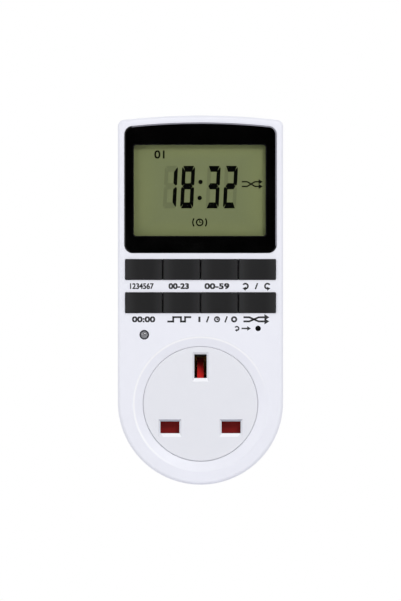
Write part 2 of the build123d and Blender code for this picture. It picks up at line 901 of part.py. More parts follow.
with BuildPart() as battery_tabs:
    with BuildSketch(at(cell_front)):
        with Locations((cell_x, cell_z)):
            Rectangle(tab_width, 2 * cell_radius)
    extrude(amount=tab_thickness)
    with BuildSketch(side_plane(cell_x, cell_z)):
        with BuildLine():
            Polyline((tab_back, cell_radius / 2), (tab_back, -tab_reach), (control_board_back, -tab_reach))
        trace(line_width=tab_thickness)
    extrude(amount=tab_width / 2, both=True)
battery_tabs.part.label = "battery_tabs"
export_step(battery_tabs.part, "parts/battery_tabs.step")

# Power board, staked on four posts of the rear shell
with BuildPart() as power_board:
    with BuildSketch(at(power_board_back)):
        with Locations((0, (power_board_bottom + power_board_top) / 2)):
            Rectangle(2 * power_board_side, power_board_top - power_board_bottom)
        with Locations(*power_post_places):
            Rectangle(board_peg_side, board_peg_side, mode=Mode.SUBTRACT)
    extrude(amount=board_thickness)
power_board.part.label = "power_board"
export_step(power_board.part, "parts/power_board.step")

with BuildPart() as relay:
    with BuildSketch(at(power_board_front)):
        with Locations((relay_x, relay_z)):
            Rectangle(relay_width, relay_length)
    extrude(amount=relay_height)
    chamfer(relay.faces().sort_by(Axis.Y)[0].edges(), length=case_edge)
relay.part.label = "relay"
export_step(relay.part, "parts/relay.step")

with BuildPart() as dropper_capacitor:
    with BuildSketch(at(power_board_front)):
        with Locations((dropper_x, relay_z)):
            Rectangle(dropper_width, dropper_length)
    extrude(amount=dropper_height)
    chamfer(dropper_capacitor.faces().sort_by(Axis.Y)[0].edges(), length=case_edge)
dropper_capacitor.part.label = "dropper_capacitor"
export_step(dropper_capacitor.part, "parts/dropper_capacitor.step")

with BuildPart() as smoothing_capacitor:
    with BuildSketch(at(power_board_front)):
        with Locations((can_x, can_z)):
            RegularPolygon(can_radius, round_sides)
    extrude(amount=can_height)
    chamfer(smoothing_capacitor.faces().sort_by(Axis.Y)[0].edges(), length=case_edge)
smoothing_capacitor.part.label = "smoothing_capacitor"
export_step(smoothing_capacitor.part, "parts/smoothing_capacitor.step")


# Four-legged bridge rectifier
with BuildPart() as bridge_rectifier:
    with BuildSketch(at(bridge_bottom)):
        with Locations((bridge_x, bridge_z)):
            Rectangle(bridge_width, bridge_length)
    extrude(amount=bridge_height)
    chamfer(bridge_rectifier.faces().sort_by(Axis.Y)[0].edges(), length=case_edge)
    with BuildSketch(at(power_board_front)):
        with Locations((bridge_x, bridge_z)):
            with GridLocations(bridge_leg_x, bridge_leg_z, 2, 2):
                Rectangle(lead_width, lead_width)
    extrude(amount=bridge_bottom - power_board_front)
bridge_rectifier.part.label = "bridge_rectifier"
export_step(bridge_rectifier.part, "parts/bridge_rectifier.step")

# Two power resistors that lie on the board, with their leads bent down to it
with BuildPart() as power_resistors:
    for x in resistor_columns:
        with BuildSketch(Plane.XY.offset(resistor_z)):
            with Locations((x, -resistor_axis)):
                RegularPolygon(resistor_radius, round_sides)
        extrude(amount=resistor_length / 2, both=True)
        with BuildSketch(side_plane(x, resistor_z)):
            with BuildLine():
                reach = resistor_length / 2 + lead_reach
                foot = [(power_board_front, -reach), (resistor_axis, -reach)]
                Polyline(*foot, (resistor_axis, reach), (power_board_front, reach))
            trace(line_width=lead_width)
        extrude(amount=lead_width / 2, both=True)
power_resistors.part.label = "power_resistors"
export_step(power_resistors.part, "parts/power_resistors.step")

# Disc varistor, standing on its two leads
with BuildPart() as surge_varistor:
    with BuildSketch(side_plane(varistor_x, varistor_z)):
        with Locations((varistor_height, 0)):
            RegularPolygon(varistor_radius, round_sides)
    extrude(amount=varistor_thickness / 2, both=True)
    with BuildSketch(at(power_board_front)):
        for side in (-1, 1):
            with Locations((varistor_x, varistor_z + side * varistor_radius / 2)):
                Rectangle(lead_width, lead_width)
    extrude(amount=varistor_height - power_board_front)
surge_varistor.part.label = "surge_varistor"
export_step(surge_varistor.part, "parts/surge_varistor.step")

# Transistor that drives the relay
with BuildPart() as relay_transistor:
    with BuildSketch(at(transistor_bottom)):
        with Locations((transistor_x, transistor_z)):
            RegularPolygon(transistor_radius, round_sides)
        with Locations((transistor_x, transistor_z + transistor_radius / 2)):
            Rectangle(2 * transistor_radius, 2 * transistor_radius, mode=Mode.INTERSECT)
    extrude(amount=transistor_height)
    with BuildSketch(at(power_board_front)):
        for step in (-1, 0, 1):
            with Locations((transistor_x + step * transistor_pitch, transistor_z)):
                Rectangle(transistor_lead, transistor_lead)
    extrude(amount=transistor_bottom - power_board_front)
relay_transistor.part.label = "relay_transistor"
export_step(relay_transistor.part, "parts/relay_transistor.step")

# Pin header that joins the two boards
with BuildPart() as board_link_header:
    with BuildSketch(at(power_board_front)):
        with Locations((header_x, header_z)):
            Rectangle(header_pitch, header_pitch * header_pins)
        with Locations(*header_pin_places):
            Rectangle(header_pin_side, header_pin_side, mode=Mode.SUBTRACT)
    extrude(amount=header_pitch)
board_link_header.part.label = "board_link_header"
export_step(board_link_header.part, "parts/board_link_header.step")

with BuildPart() as board_link_pins:
    with BuildSketch(at(power_board_front)):
        with Locations(*header_pin_places):
            Rectangle(header_pin_side, header_pin_side)
    extrude(amount=control_board_back - power_board_front)
board_link_pins.part.label = "board_link_pins"
export_step(board_link_pins.part, "parts/board_link_pins.step")

# Socket face: flanged insert with the three apertures and the collars behind them
with BuildPart() as socket_face:
    with BuildSketch(at(insert_back)):
        Circle(insert_radius)
    extrude(amount=insert_thickness)
    chamfer(socket_face.faces().sort_by(Axis.Y)[0].edges(), length=insert_edge)
    with BuildSketch(at(insert_back)):
        add(module_outline(0))
    extrude(amount=front_inner - insert_back)
    with BuildSketch(at(collar_back)):
        add(aperture_outline(collar_wall))
    extrude(amount=insert_back - collar_back)
    with BuildSketch(at(collar_back)):
        add(aperture_outline(0))
    extrude(amount=insert_front - collar_back, mode=Mode.SUBTRACT)
    for x, z, width, height in mouths:
        with BuildSketch(at(insert_front)):
            with Locations((x, z - (lead_in_foot - lead_in) / 2)):
                Rectangle(width + 2 * lead_in, height + lead_in + lead_in_foot)
        with BuildSketch(at(insert_front - lead_in_depth)):
            with Locations((x, z)):
                Rectangle(width, height)
        loft(ruled=True, mode=Mode.SUBTRACT)
socket_face.part.label = "socket_face"
export_step(socket_face.part, "parts/socket_face.step")

# Safety shutter: two flaps on arms below a crossbar, and a ramp that the earth pin
# pushes down before the other two pins arrive
with BuildPart() as safety_shutter:
    with BuildSketch(at(shutter_back)):
        with Locations((0, (bar_top + bar_bottom) / 2)):
            Rectangle(2 * flap_outer, bar_top - bar_bottom)
        for side in (-1, 1):
            with Locations((side * (arm_inner + flap_inner) / 2, (bar_bottom + flap_bottom) / 2)):
                Rectangle(flap_inner - arm_inner, bar_bottom - flap_bottom)
            with Locations((side * (arm_inner + flap_outer) / 2, (flap_top + flap_bottom) / 2)):
                Rectangle(flap_outer - arm_inner, flap_top - flap_bottom)
        fillet(vertices().sort_by(Axis.Y)[:4], radius=flap_corner)
    extrude(amount=shutter_thickness)
    with BuildSketch(at(shutter_back)):
        with Locations((0, bar_bottom + spring_seat_height / 2)):
            Rectangle(spring_post_width, spring_seat_height)
    extrude(amount=spring_post_top - shutter_back)
    with BuildSketch(side_plane(0, 0)):
        with BuildLine():
            crest = [(shutter_front, bar_top - ramp_root), (shutter_front, ramp_foot)]
            tip = [(shutter_front - ramp_drop, ramp_top), (shutter_front - ramp_drop - ramp_tip, ramp_top)]
            Polyline(*crest, *tip, (shutter_back, bar_top - ramp_root), crest[0])
        make_face()
    extrude(amount=ramp_width / 2, both=True)
safety_shutter.part.label = "safety_shutter"
export_step(safety_shutter.part, "parts/safety_shutter.step")

# Return spring of the shutter, between its crossbar and the post on the contact cover
with BuildPart() as shutter_spring:
    rise = (spring_length - 2 * spring_wire) / (spring_turns * spring_chords)
    turn = 2 * pi / spring_chords
    corners = []
    for step in range(spring_turns * spring_chords + 1):
        x = spring_radius * cos(step * turn)
        y = spring_radius * sin(step * turn) - spring_height
        corners.append((x, y, spring_bottom + spring_wire + step * rise))
    with BuildLine() as coil:
        Polyline(*corners)
    with BuildSketch(Plane(origin=coil.line @ 0, z_dir=coil.line % 0)):
        Rectangle(2 * spring_wire, 2 * spring_wire)
    sweep(transition=Transition.RIGHT)
shutter_spring.part.label = "shutter_spring"
export_step(shutter_spring.part, "parts/shutter_spring.step")

# Contact carrier: drum with a walled chamber for each contact
with BuildPart() as contact_carrier:
    with BuildSketch(at(carrier_floor)):
        add(module_outline(0))
    extrude(amount=carrier_floor_thickness)
    with BuildSketch(at(carrier_floor_top)):
        add(module_outline(0))
        add(module_outline(carrier_wall), mode=Mode.SUBTRACT)
    extrude(amount=insert_back - carrier_floor_top)
    with BuildSketch(at(carrier_floor_top)):
        add(chamber_outline(chamber_wall))
        add(chamber_outline(0), mode=Mode.SUBTRACT)
    extrude(amount=cover_back - carrier_floor_top)
    # Channels for the straps and the ramp, and holes for the tails of the pins
    with BuildSketch(at(carrier_floor_top)):
        for x, z in live_places:
            with Locations((x, (z - strap_start + module_radius) / 2)):
                Rectangle(strap_width + 2 * strap_gap, module_radius - z + strap_start)
    extrude(amount=strap_thickness + strap_gap, mode=Mode.SUBTRACT)
    with BuildSketch(at(ramp_channel_floor)):
        with Locations((0, (ramp_slot_bottom + earth_line) / 2)):
            Rectangle(ramp_width + 2 * rail_gap, earth_line - ramp_slot_bottom)
    extrude(amount=cover_back - ramp_channel_floor, mode=Mode.SUBTRACT)
    with BuildSketch(at(carrier_floor)):
        with Locations(neutral_place, earth_place):
            Rectangle(tail_side + 2 * pin_gap, tail_side + 2 * pin_gap)
    extrude(amount=carrier_floor_thickness, mode=Mode.SUBTRACT)
contact_carrier.part.label = "contact_carrier"
export_step(contact_carrier.part, "parts/contact_carrier.step")

# Contact cover: closes the chambers and guides the shutter between two rails
with BuildPart() as contact_cover:
    with BuildSketch(at(cover_back)):
        add(module_outline(carrier_wall + cover_gap))
        add(pin_outline(cover_slot_gap), mode=Mode.SUBTRACT)
        with Locations((0, (ramp_slot_bottom + ramp_top + rail_gap) / 2)):
            Rectangle(ramp_width + 2 * rail_gap, ramp_top + rail_gap - ramp_slot_bottom, mode=Mode.SUBTRACT)
    extrude(amount=cover_thickness)
    with BuildSketch(at(cover_front)):
        for side in (-1, 1):
            with Locations((side * (flap_outer + rail_gap + rail_width / 2), (bar_top + rail_foot) / 2)):
                Rectangle(rail_width, bar_top - rail_foot)
    extrude(amount=rail_height)
    # Stops above the shutter, tall enough for the socket face to clamp the cover
    with BuildSketch(at(cover_front)):
        for side in (-1, 1):
            with Locations((side * stop_x, bar_top + rail_gap + rail_width / 2)):
                Rectangle(stop_length, rail_width)
            with Locations((side * clamp_x, live_line)):
                Rectangle(rail_width, stop_length)
    extrude(amount=insert_back - cover_front)
    with BuildSketch(at(cover_front)):
        with Locations((0, spring_bottom - spring_post_height / 2)):
            Rectangle(spring_post_width, spring_post_height)
    extrude(amount=spring_post_top - cover_front)
contact_cover.part.label = "contact_cover"
export_step(contact_cover.part, "parts/contact_cover.step")


def jaw_contact(plane, place, pin_thickness, width, base, staked):
    """Sprung U-shaped jaw, bowed so that it pinches a pin near its flared mouth."""
    pinch = pin_thickness / 2 + contact_grip + contact_thickness / 2
    mouth = cover_back - contact_end_gap
    floor = base + contact_thickness / 2
    leaf = [(mouth, pinch + contact_flare), (mouth - contact_mouth, pinch)]
    leaf += [(floor + contact_heel, pinch + contact_bow), (floor, pinch + contact_bow)]
    other_leaf = [(height, -offset) for height, offset in reversed(leaf)]
    with BuildPart() as contact:
        with BuildSketch(plane):
            with BuildLine():
                FilletPolyline(*leaf, *other_leaf, radius=contact_bend)
            trace(line_width=contact_thickness)
        extrude(amount=width / 2, both=True)
        if staked:
            with BuildSketch(at(base)):
                with Locations(place):
                    Rectangle(tail_side + 2 * pin_gap, tail_side + 2 * pin_gap)
            extrude(amount=contact_thickness, mode=Mode.SUBTRACT)
    return contact


live_width = live_pin_width - contact_side_gap
line_plane = side_plane(live_x, live_line)
line_contact = jaw_contact(line_plane, line_place, live_pin_height, live_width, contact_base, False)
line_contact.part.label = "line_contact"
export_step(line_contact.part, "parts/line_contact.step")

neutral_plane = side_plane(-live_x, live_line)
neutral_contact = jaw_contact(neutral_plane, neutral_place, live_pin_height, live_width, contact_base, True)
neutral_contact.part.label = "neutral_contact"
export_step(neutral_contact.part, "parts/neutral_contact.step")

earth_width = earth_pin_height - contact_side_gap
earth_plane = level_plane(earth_line)
earth_contact = jaw_contact(earth_plane, earth_place, earth_pin_width, earth_width, carrier_floor_top, True)
earth_contact.part.label = "earth_contact"
export_step(earth_contact.part, "parts/earth_contact.step")


def plug_pin(place, width, height, length, sleeve, shoulder_top, tail_top):
    """Plug pin with a bevelled tip, a shoulder inside the rear shell and a staked tail."""
    with BuildPart() as pin:
        with BuildSketch(at(-length)):
            with Locations(place):
                Rectangle(width, height)
        extrude(amount=length - (sleeve_length if sleeve else 0))
        chamfer(pin.faces().sort_by(Axis.Y)[-1].edges(), length=pin_tip_chamfer)
        with BuildSketch(at(-sleeve_length)):
            with Locations(place):
                Rectangle(width - 2 * sleeve, height - 2 * sleeve)
        extrude(amount=sleeve_length + pin_boss_top)
        with BuildSketch(at(pin_boss_top)):
            with Locations(place):
                Rectangle(width + 2 * pin_shoulder, height + 2 * pin_shoulder)
        extrude(amount=shoulder_top - pin_boss_top)
        with BuildSketch(at(shoulder_top)):
            with Locations(place):
                Rectangle(tail_side, tail_side)
        extrude(amount=tail_top - shoulder_top)
        with BuildSketch(at(tail_top)):
            with Locations(place):
                Rectangle(tail_head, tail_head)
        extrude(amount=tail_head_height)
        chamfer(pin.faces().sort_by(Axis.Y)[0].edges(), length=tail_head_height / 2)
    return pin


def pin_sleeve(place):
    """Insulating sleeve, flush with the bare end of a live pin."""
    with BuildPart() as sleeve:
        with BuildSketch(at(-sleeve_length)):
            with Locations(place):
                Rectangle(live_pin_width, live_pin_height)
                Rectangle(
                    live_pin_width - 2 * sleeve_thickness,
                    live_pin_height - 2 * sleeve_thickness,
                    mode=Mode.SUBTRACT,
                )
        extrude(amount=sleeve_length + pin_boss_top)
    return sleeve


live_blade = live_pin_width, live_pin_height, live_pin_length, sleeve_thickness
line_pin = plug_pin(line_place, *live_blade, pin_head, pin_head + strap_thickness)
line_pin.part.label = "line_pin"
export_step(line_pin.part, "parts/line_pin.step")

neutral_pin = plug_pin(neutral_place, *live_blade, carrier_floor, contact_base + contact_thickness)
neutral_pin.part.label = "neutral_pin"
export_step(neutral_pin.part, "parts/neutral_pin.step")

earth_blade = earth_pin_width, earth_pin_height, earth_pin_length, 0
earth_pin = plug_pin(earth_place, *earth_blade, carrier_floor, carrier_floor_top + contact_thickness)
earth_pin.part.label = "earth_pin"
export_step(earth_pin.part, "parts/earth_pin.step")

line_pin_sleeve = pin_sleeve(line_place)
line_pin_sleeve.part.label = "line_pin_sleeve"
export_step(line_pin_sleeve.part, "parts/line_pin_sleeve.step")

neutral_pin_sleeve = pin_sleeve(neutral_place)
neutral_pin_sleeve.part.label = "neutral_pin_sleeve"
export_step(neutral_pin_sleeve.part, "parts/neutral_pin_sleeve.step")


def riser_strap(place, staked):
    """Strap from a live contact, past the carrier and down to the power board."""
    x, z = place
    run = carrier_floor_top + strap_thickness / 2
    foot = power_board_front + strap_thickness / 2
    with BuildPart() as strap:
        with BuildSketch(side_plane(x, 0)):
            with BuildLine():
                drop = [(run, strap_drop), (foot, strap_drop), (foot, strap_end)]
                FilletPolyline((run, z - strap_start), *drop, radius=strap_bend)
            trace(line_width=strap_thickness)
        extrude(amount=strap_width / 2, both=True)
        if staked:
            with BuildSketch(at(carrier_floor_top)):
                with Locations(place):
                    Rectangle(tail_side + 2 * pin_gap, tail_side + 2 * pin_gap)
            extrude(amount=strap_thickness, mode=Mode.SUBTRACT)
    return strap


neutral_strap = riser_strap(neutral_place, True)
neutral_strap.part.label = "neutral_strap"
export_step(neutral_strap.part, "parts/neutral_strap.step")

switched_line_strap = riser_strap(line_place, False)
switched_line_strap.part.label = "switched_line_strap"
export_step(switched_line_strap.part, "parts/switched_line_strap.step")

# Bus bar from the line pin, out to the side and up to the relay's end of the power board
with BuildPart() as line_bus_bar:
    with BuildSketch(side_plane(bus_bar_x, 0)):
        with BuildLine():
            run = pin_head + strap_thickness / 2
            foot = power_board_front + strap_thickness / 2
            step = [(run, strap_drop), (foot, strap_drop + strap_step), (foot, strap_end)]
            Polyline((run, live_line - strap_width / 2), *step)
        trace(line_width=strap_thickness)
    extrude(amount=strap_width / 2, both=True)
    with BuildSketch(at(pin_head)):
        with Locations(((line_place[0] + bus_bar_x) / 2, live_line)):
            Rectangle(bus_bar_x - line_place[0] + strap_width, strap_width)
        with Locations(line_place):
            Rectangle(tail_side + 2 * pin_gap, tail_side + 2 * pin_gap, mode=Mode.SUBTRACT)
    extrude(amount=strap_thickness)
line_bus_bar.part.label = "line_bus_bar"
export_step(line_bus_bar.part, "parts/line_bus_bar.step")

def screw_set(places, seat, facing, sizes, length):
    """Screws with crossed recesses: facing is 1 for heads to the front, -1 for heads to the wall."""
    radius, head_radius, head_height = sizes
    with BuildPart() as screws:
        with BuildSketch(at(seat)):
            with Locations(*places):
                RegularPolygon(head_radius, round_sides)
        extrude(amount=facing * head_height)
        with BuildSketch(at(seat)):
            with Locations(*places):
                RegularPolygon(radius, thread_sides)
        extrude(amount=-facing * length)
        with BuildSketch(at(seat + facing * head_height)):
            with Locations(*places):
                Rectangle(head_radius, screw_cross)
                Rectangle(screw_cross, head_radius)
        extrude(amount=-facing * head_height / 2, mode=Mode.SUBTRACT)
    return screws


housing_sizes = screw_radius, screw_head_radius, screw_head_height
small_sizes = small_screw_radius, small_head_radius, small_head_height
housing_screws = screw_set(housing_screw_places, recess_depth, -1, housing_sizes, housing_screw_length)
housing_screws.part.label = "housing_screws"
export_step(housing_screws.part, "parts/housing_screws.step")

control_board_screws = screw_set(board_post_places, control_board_back, -1, small_sizes, board_screw_length)
control_board_screws.part.label = "control_board_screws"
export_step(control_board_screws.part, "parts/control_board_screws.step")
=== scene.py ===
# Plug-in timer with a display, two rows of keys and a shuttered socket
import bmesh
import bpy
from math import cos, pi, radians, sin
from mathutils import Matrix, Vector


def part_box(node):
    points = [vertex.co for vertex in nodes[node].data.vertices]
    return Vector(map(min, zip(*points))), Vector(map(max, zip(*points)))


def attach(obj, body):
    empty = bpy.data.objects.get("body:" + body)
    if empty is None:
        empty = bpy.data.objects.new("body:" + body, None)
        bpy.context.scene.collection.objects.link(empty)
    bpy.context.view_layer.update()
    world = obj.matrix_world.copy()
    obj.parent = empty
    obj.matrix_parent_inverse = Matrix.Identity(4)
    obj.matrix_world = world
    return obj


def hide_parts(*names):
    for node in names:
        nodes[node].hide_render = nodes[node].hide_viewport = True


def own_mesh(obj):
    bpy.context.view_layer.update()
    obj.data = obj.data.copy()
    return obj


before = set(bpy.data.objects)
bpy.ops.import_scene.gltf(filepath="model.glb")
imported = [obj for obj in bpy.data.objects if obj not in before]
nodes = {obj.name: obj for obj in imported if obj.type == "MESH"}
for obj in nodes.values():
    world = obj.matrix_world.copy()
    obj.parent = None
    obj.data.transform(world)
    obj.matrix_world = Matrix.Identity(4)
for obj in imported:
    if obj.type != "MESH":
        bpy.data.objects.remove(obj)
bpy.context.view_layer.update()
mm = 0.001
print("frame loaded:", len(nodes), "nodes")


def srgb(code):
    channels = [int(code[i:i + 2], 16) / 255 for i in (1, 3, 5)]
    return (*[c / 12.92 if c <= 0.04045 else ((c + 0.055) / 1.055) ** 2.4 for c in channels], 1)


def result(node):
    # The first output that the node's settings leave in use
    return next(output for output in node.outputs if output.enabled)


def addNode(tree, kind, settings):
    # A setting that is a node, or an output of one, is linked; any other value is set
    node = tree.nodes.new(kind)
    for name, value in settings.items():
        if isinstance(value, bpy.types.Node):
            value = result(value)
        if isinstance(value, bpy.types.NodeSocket):
            tree.links.new(value, node.inputs[name])
        elif isinstance(name, int) or name in node.inputs:
            node.inputs[name].default_value = value
        else:
            setattr(node, name, value)
    return node


def maths(tree, operation, *values):
    return addNode(tree, "ShaderNodeMath", {"operation": operation, **dict(enumerate(values))})


def vectorMaths(tree, operation, *values):
    return addNode(tree, "ShaderNodeVectorMath", {"operation": operation, **dict(enumerate(values))})


def objectPlace(tree):
    return addNode(tree, "ShaderNodeTexCoord", {}).outputs["Object"]


def smoothStep(tree, value, start, end, top=1.0):
    return addNode(tree, "ShaderNodeMapRange", {"interpolation_type": "SMOOTHSTEP", "Value": value,
                                                "From Min": start, "From Max": end, "To Max": top})


def mixTone(tree, share, first, second):
    # Each side is a colour code or comes from another node
    first, second = [srgb(side) if isinstance(side, str) else side for side in (first, second)]
    return addNode(tree, "ShaderNodeMix", {"data_type": "RGBA", 0: share, 6: first, 7: second})


def noiseTexture(tree, size, detail, place):
    return addNode(tree, "ShaderNodeTexNoise", {"Scale": 1 / (size * mm), "Detail": detail, "Vector": place})


def grainBump(tree, grain, depth, strength=0.6, detail=2.0):
    noise = noiseTexture(tree, grain, detail, objectPlace(tree))
    return addNode(tree, "ShaderNodeBump", {"Strength": strength, "Distance": depth * mm, "Height": noise})


def flatOffset(tree, middle):
    # The way from a middle to each point, seen from the front
    offset = vectorMaths(tree, "SUBTRACT", objectPlace(tree), middle)
    return vectorMaths(tree, "MULTIPLY", offset, (1, 0, 1))


def glossFrom(tree, noise, rough, spread):
    # Noise stays mostly between 0.3 and 0.7, so this range is spread round the roughness
    return addNode(tree, "ShaderNodeMapRange", {"Value": noise, "From Min": 0.3, "From Max": 0.7,
                                                "To Min": rough - spread, "To Max": rough + spread})


def directRays(tree):
    # 1 where a thing is seen straight, in a gloss or through glass, and 0 where it only lights others
    rays = addNode(tree, "ShaderNodeLightPath", {}).outputs
    seen = maths(tree, "MAXIMUM", rays["Is Camera Ray"], rays["Is Glossy Ray"])
    return maths(tree, "MAXIMUM", seen, rays["Is Transmission Ray"])


def emptyMaterial(name):
    material = bpy.data.materials.new(name)
    material.use_nodes = True
    material.node_tree.nodes.clear()
    return material, material.node_tree


def addSurface(tree, settings, kind="ShaderNodeBsdfPrincipled"):
    addNode(tree, "ShaderNodeOutputMaterial", {"Surface": addNode(tree, kind, settings)})


# Camera straight in front and without perspective, as the photograph is taken
view = {"pixelsPerMm": 2.755, "imageHigh": 601, "middleX": 0.0, "middleZ": 37.54, "distance": 900}
lens = bpy.data.cameras.new("camera")
lens.type = "ORTHO"
lens.ortho_scale = view["imageHigh"] / view["pixelsPerMm"] * mm
camera = bpy.data.objects.new("camera", lens)
camera.location = (view["middleX"] * mm, -view["distance"] * mm, view["middleZ"] * mm)
camera.rotation_euler = (radians(90), 0, 0)
bpy.context.scene.collection.objects.link(camera)
bpy.context.scene.camera = camera
bpy.context.scene.view_settings.view_transform = "Standard"

# Studio: even pale surroundings, a soft lamp from the upper right and a weak one from the left.
# Seen straight, surroundings and floor are as white as the backdrop of the photograph
studio = {"surroundings": 0.51, "tint": "#FDFDFF", "backdrop": "#FFFFFF",
          "paper": "#F4F4F6", "floorZ": -29.35, "floorSize": 3000, "floorLift": 0.22,
          "card": "#050505", "cardPlace": (0, -1600, 40), "cardSize": 2600,
          "lamps": (("lamp_main", (420, -1300, 760), 420, 8.4), ("lamp_fill", (-900, -900, 300), 900, 2.8)),
          "aim": (0, 0, 40)}
world = bpy.data.worlds.new("studio")
world.use_nodes = True
tree = world.node_tree
tree.nodes.clear()
bpy.context.scene.world = world
soft = addNode(tree, "ShaderNodeBackground",
               {"Color": srgb(studio["tint"]), "Strength": studio["surroundings"]})
white = addNode(tree, "ShaderNodeBackground", {"Color": srgb(studio["backdrop"]), "Strength": 1.0})
both = addNode(tree, "ShaderNodeMixShader", {0: directRays(tree), 1: soft, 2: white})
addNode(tree, "ShaderNodeOutputWorld", {"Surface": both})

for name, place, size, watts in studio["lamps"]:
    light = bpy.data.lights.new(name, "AREA")
    light.shape = "DISK"
    light.size = size * mm
    light.energy = watts
    holder = bpy.data.objects.new(name, light)
    holder.location = Vector(place) * mm
    holder.rotation_euler = (Vector(place) - Vector(studio["aim"])).to_track_quat("Z", "Y").to_euler()
    bpy.context.scene.collection.objects.link(holder)


def flatPlane(name, size, place, turn, material):
    bm = bmesh.new()
    bmesh.ops.create_grid(bm, x_segments=1, y_segments=1, size=size / 2 * mm,
                          matrix=Matrix.Translation(Vector(place) * mm) @ Matrix.Rotation(turn, 4, "X"))
    mesh = bpy.data.meshes.new(name)
    bm.to_mesh(mesh)
    bm.free()
    mesh.materials.append(material)
    plane = bpy.data.objects.new(name, mesh)
    bpy.context.scene.collection.objects.link(plane)
    return plane


# Floor of matt studio paper
paper, tree = emptyMaterial("paperMattWhite")
paperShader = addNode(tree, "ShaderNodeBsdfPrincipled",
                      {"Base Color": srgb(studio["paper"]), "Roughness": 0.9,
                       "Normal": grainBump(tree, 2.5, 0.1, strength=0.2)})
paperGlow = addNode(tree, "ShaderNodeEmission",
                    {"Color": srgb(studio["backdrop"]),
                     "Strength": maths(tree, "MULTIPLY", directRays(tree), studio["floorLift"])})
addSurface(tree, {0: paperShader, 1: paperGlow}, "ShaderNodeAddShader")
flatPlane("floor", studio["floorSize"], (0, 0, studio["floorZ"]), 0, paper)

# A black card behind the camera, seen only in reflections, keeps the gloss of the bezel deep
blackCard, tree = emptyMaterial("cardMattBlack")
addSurface(tree, {"Color": srgb(studio["card"])}, "ShaderNodeBsdfDiffuse")
card = flatPlane("reflection_card", studio["cardSize"], studio["cardPlace"], radians(90), blackCard)
card.visible_camera = False
card.visible_diffuse = False
card.visible_transmission = False
card.visible_shadow = False
print("camera, lamps and floor ready")


def dress(material, *names):
    for name in names:
        for slot in nodes[name].material_slots:
            slot.material = material


def mouldedPlastic(name, look, *names):
    # Moulded parts: a fine eroded grain, and faint flow marks in tone and gloss
    material, tree = emptyMaterial(name)
    flow = noiseTexture(tree, look["flow"], 3.0, objectPlace(tree))
    addSurface(tree, {"Base Color": mixTone(tree, flow, look["colour"], look["shade"]),
                      "Roughness": glossFrom(tree, flow, look["rough"], 0.04),
                      "Normal": grainBump(tree, look["grain"], look["depth"]),
                      "IOR": look.get("ior", 1.53), "Specular IOR Level": look.get("specular", 0.5)})
    dress(material, *names)
    return material


def workedMetal(name, look, *names):
    # Metal with fine lines along one axis, from drawing, turning or pressing
    material, tree = emptyMaterial(name)
    place = objectPlace(tree)
    stretch = addNode(tree, "ShaderNodeMapping", {"Scale": look["along"], "Vector": place})
    lines = noiseTexture(tree, look["line"], 2.0, stretch)
    stain = noiseTexture(tree, look["stain"], 4.0, place)
    bump = addNode(tree, "ShaderNodeBump", {"Strength": 0.5, "Distance": look["depth"] * mm, "Height": lines})
    addSurface(tree, {"Base Color": mixTone(tree, stain, look["colour"], look["shade"]), "Metallic": 1.0,
                      "Roughness": glossFrom(tree, lines, look["rough"], 0.07), "Normal": bump})
    dress(material, *names)
    return material


def tintPart(material, share, colour):
    # Paints another tone over a share of a finished material
    tree = material.node_tree
    base = next(node for node in tree.nodes if node.type == "BSDF_PRINCIPLED").inputs["Base Color"]
    tree.links.new(result(mixTone(tree, share, base.links[0].from_socket, colour)), base)


def facingShare(tree, facing):
    # 1 on bevels that face one way; the flat front and the walls stay at 0
    normal = addNode(tree, "ShaderNodeTexCoord", {}).outputs["Normal"]
    return smoothStep(tree, vectorMaths(tree, "DOT_PRODUCT", normal, facing), 0.75, 0.85)


# ABS of the two shells, moulded with a fine satin grain: even, faintly bluish white.
# A real grain of about 0.1 mm would be too fine to show, so it is drawn coarser
shellPlastic = mouldedPlastic("absMouldedSatinWhite", {
    "colour": "#EDEEF5", "shade": "#E9EAF2", "rough": 0.42, "grain": 0.35, "depth": 0.006, "flow": 9.0,
    "specular": 0.4},
    "front_shell", "rear_shell")

# The lip round the socket well: a painted highlight, a paler line painted on the side that the photograph
# shows bright
lip = {"colour": "#FFFFFF", "radius": 24.2, "half": 0.6, "front": -37.0, "share": 0.7,
       "highlightSide": (-0.6, 0.0, 0.8), "fade": (-0.6, 0.2)}
tree = shellPlastic.node_tree
lipWay = flatOffset(tree, (0, 0, 0))
lipReach = vectorMaths(tree, "LENGTH", lipWay)
lipOff = maths(tree, "ABSOLUTE", maths(tree, "SUBTRACT", lipReach, lip["radius"] * mm))
lipHighlightBand = smoothStep(tree, lipOff, lip["half"] * mm, 0.0, top=lip["share"])
lipDepth = addNode(tree, "ShaderNodeSeparateXYZ", {"Vector": objectPlace(tree)}).outputs["Y"]
lipFront = maths(tree, "LESS_THAN", lipDepth, lip["front"] * mm)
lipSide = vectorMaths(tree, "DOT_PRODUCT", vectorMaths(tree, "NORMALIZE", lipWay), lip["highlightSide"])
lipHighlightSide = maths(tree, "MULTIPLY", smoothStep(tree, lipSide, *lip["fade"]), lipFront)
tintPart(shellPlastic, maths(tree, "MULTIPLY", lipHighlightBand, lipHighlightSide), lip["colour"])
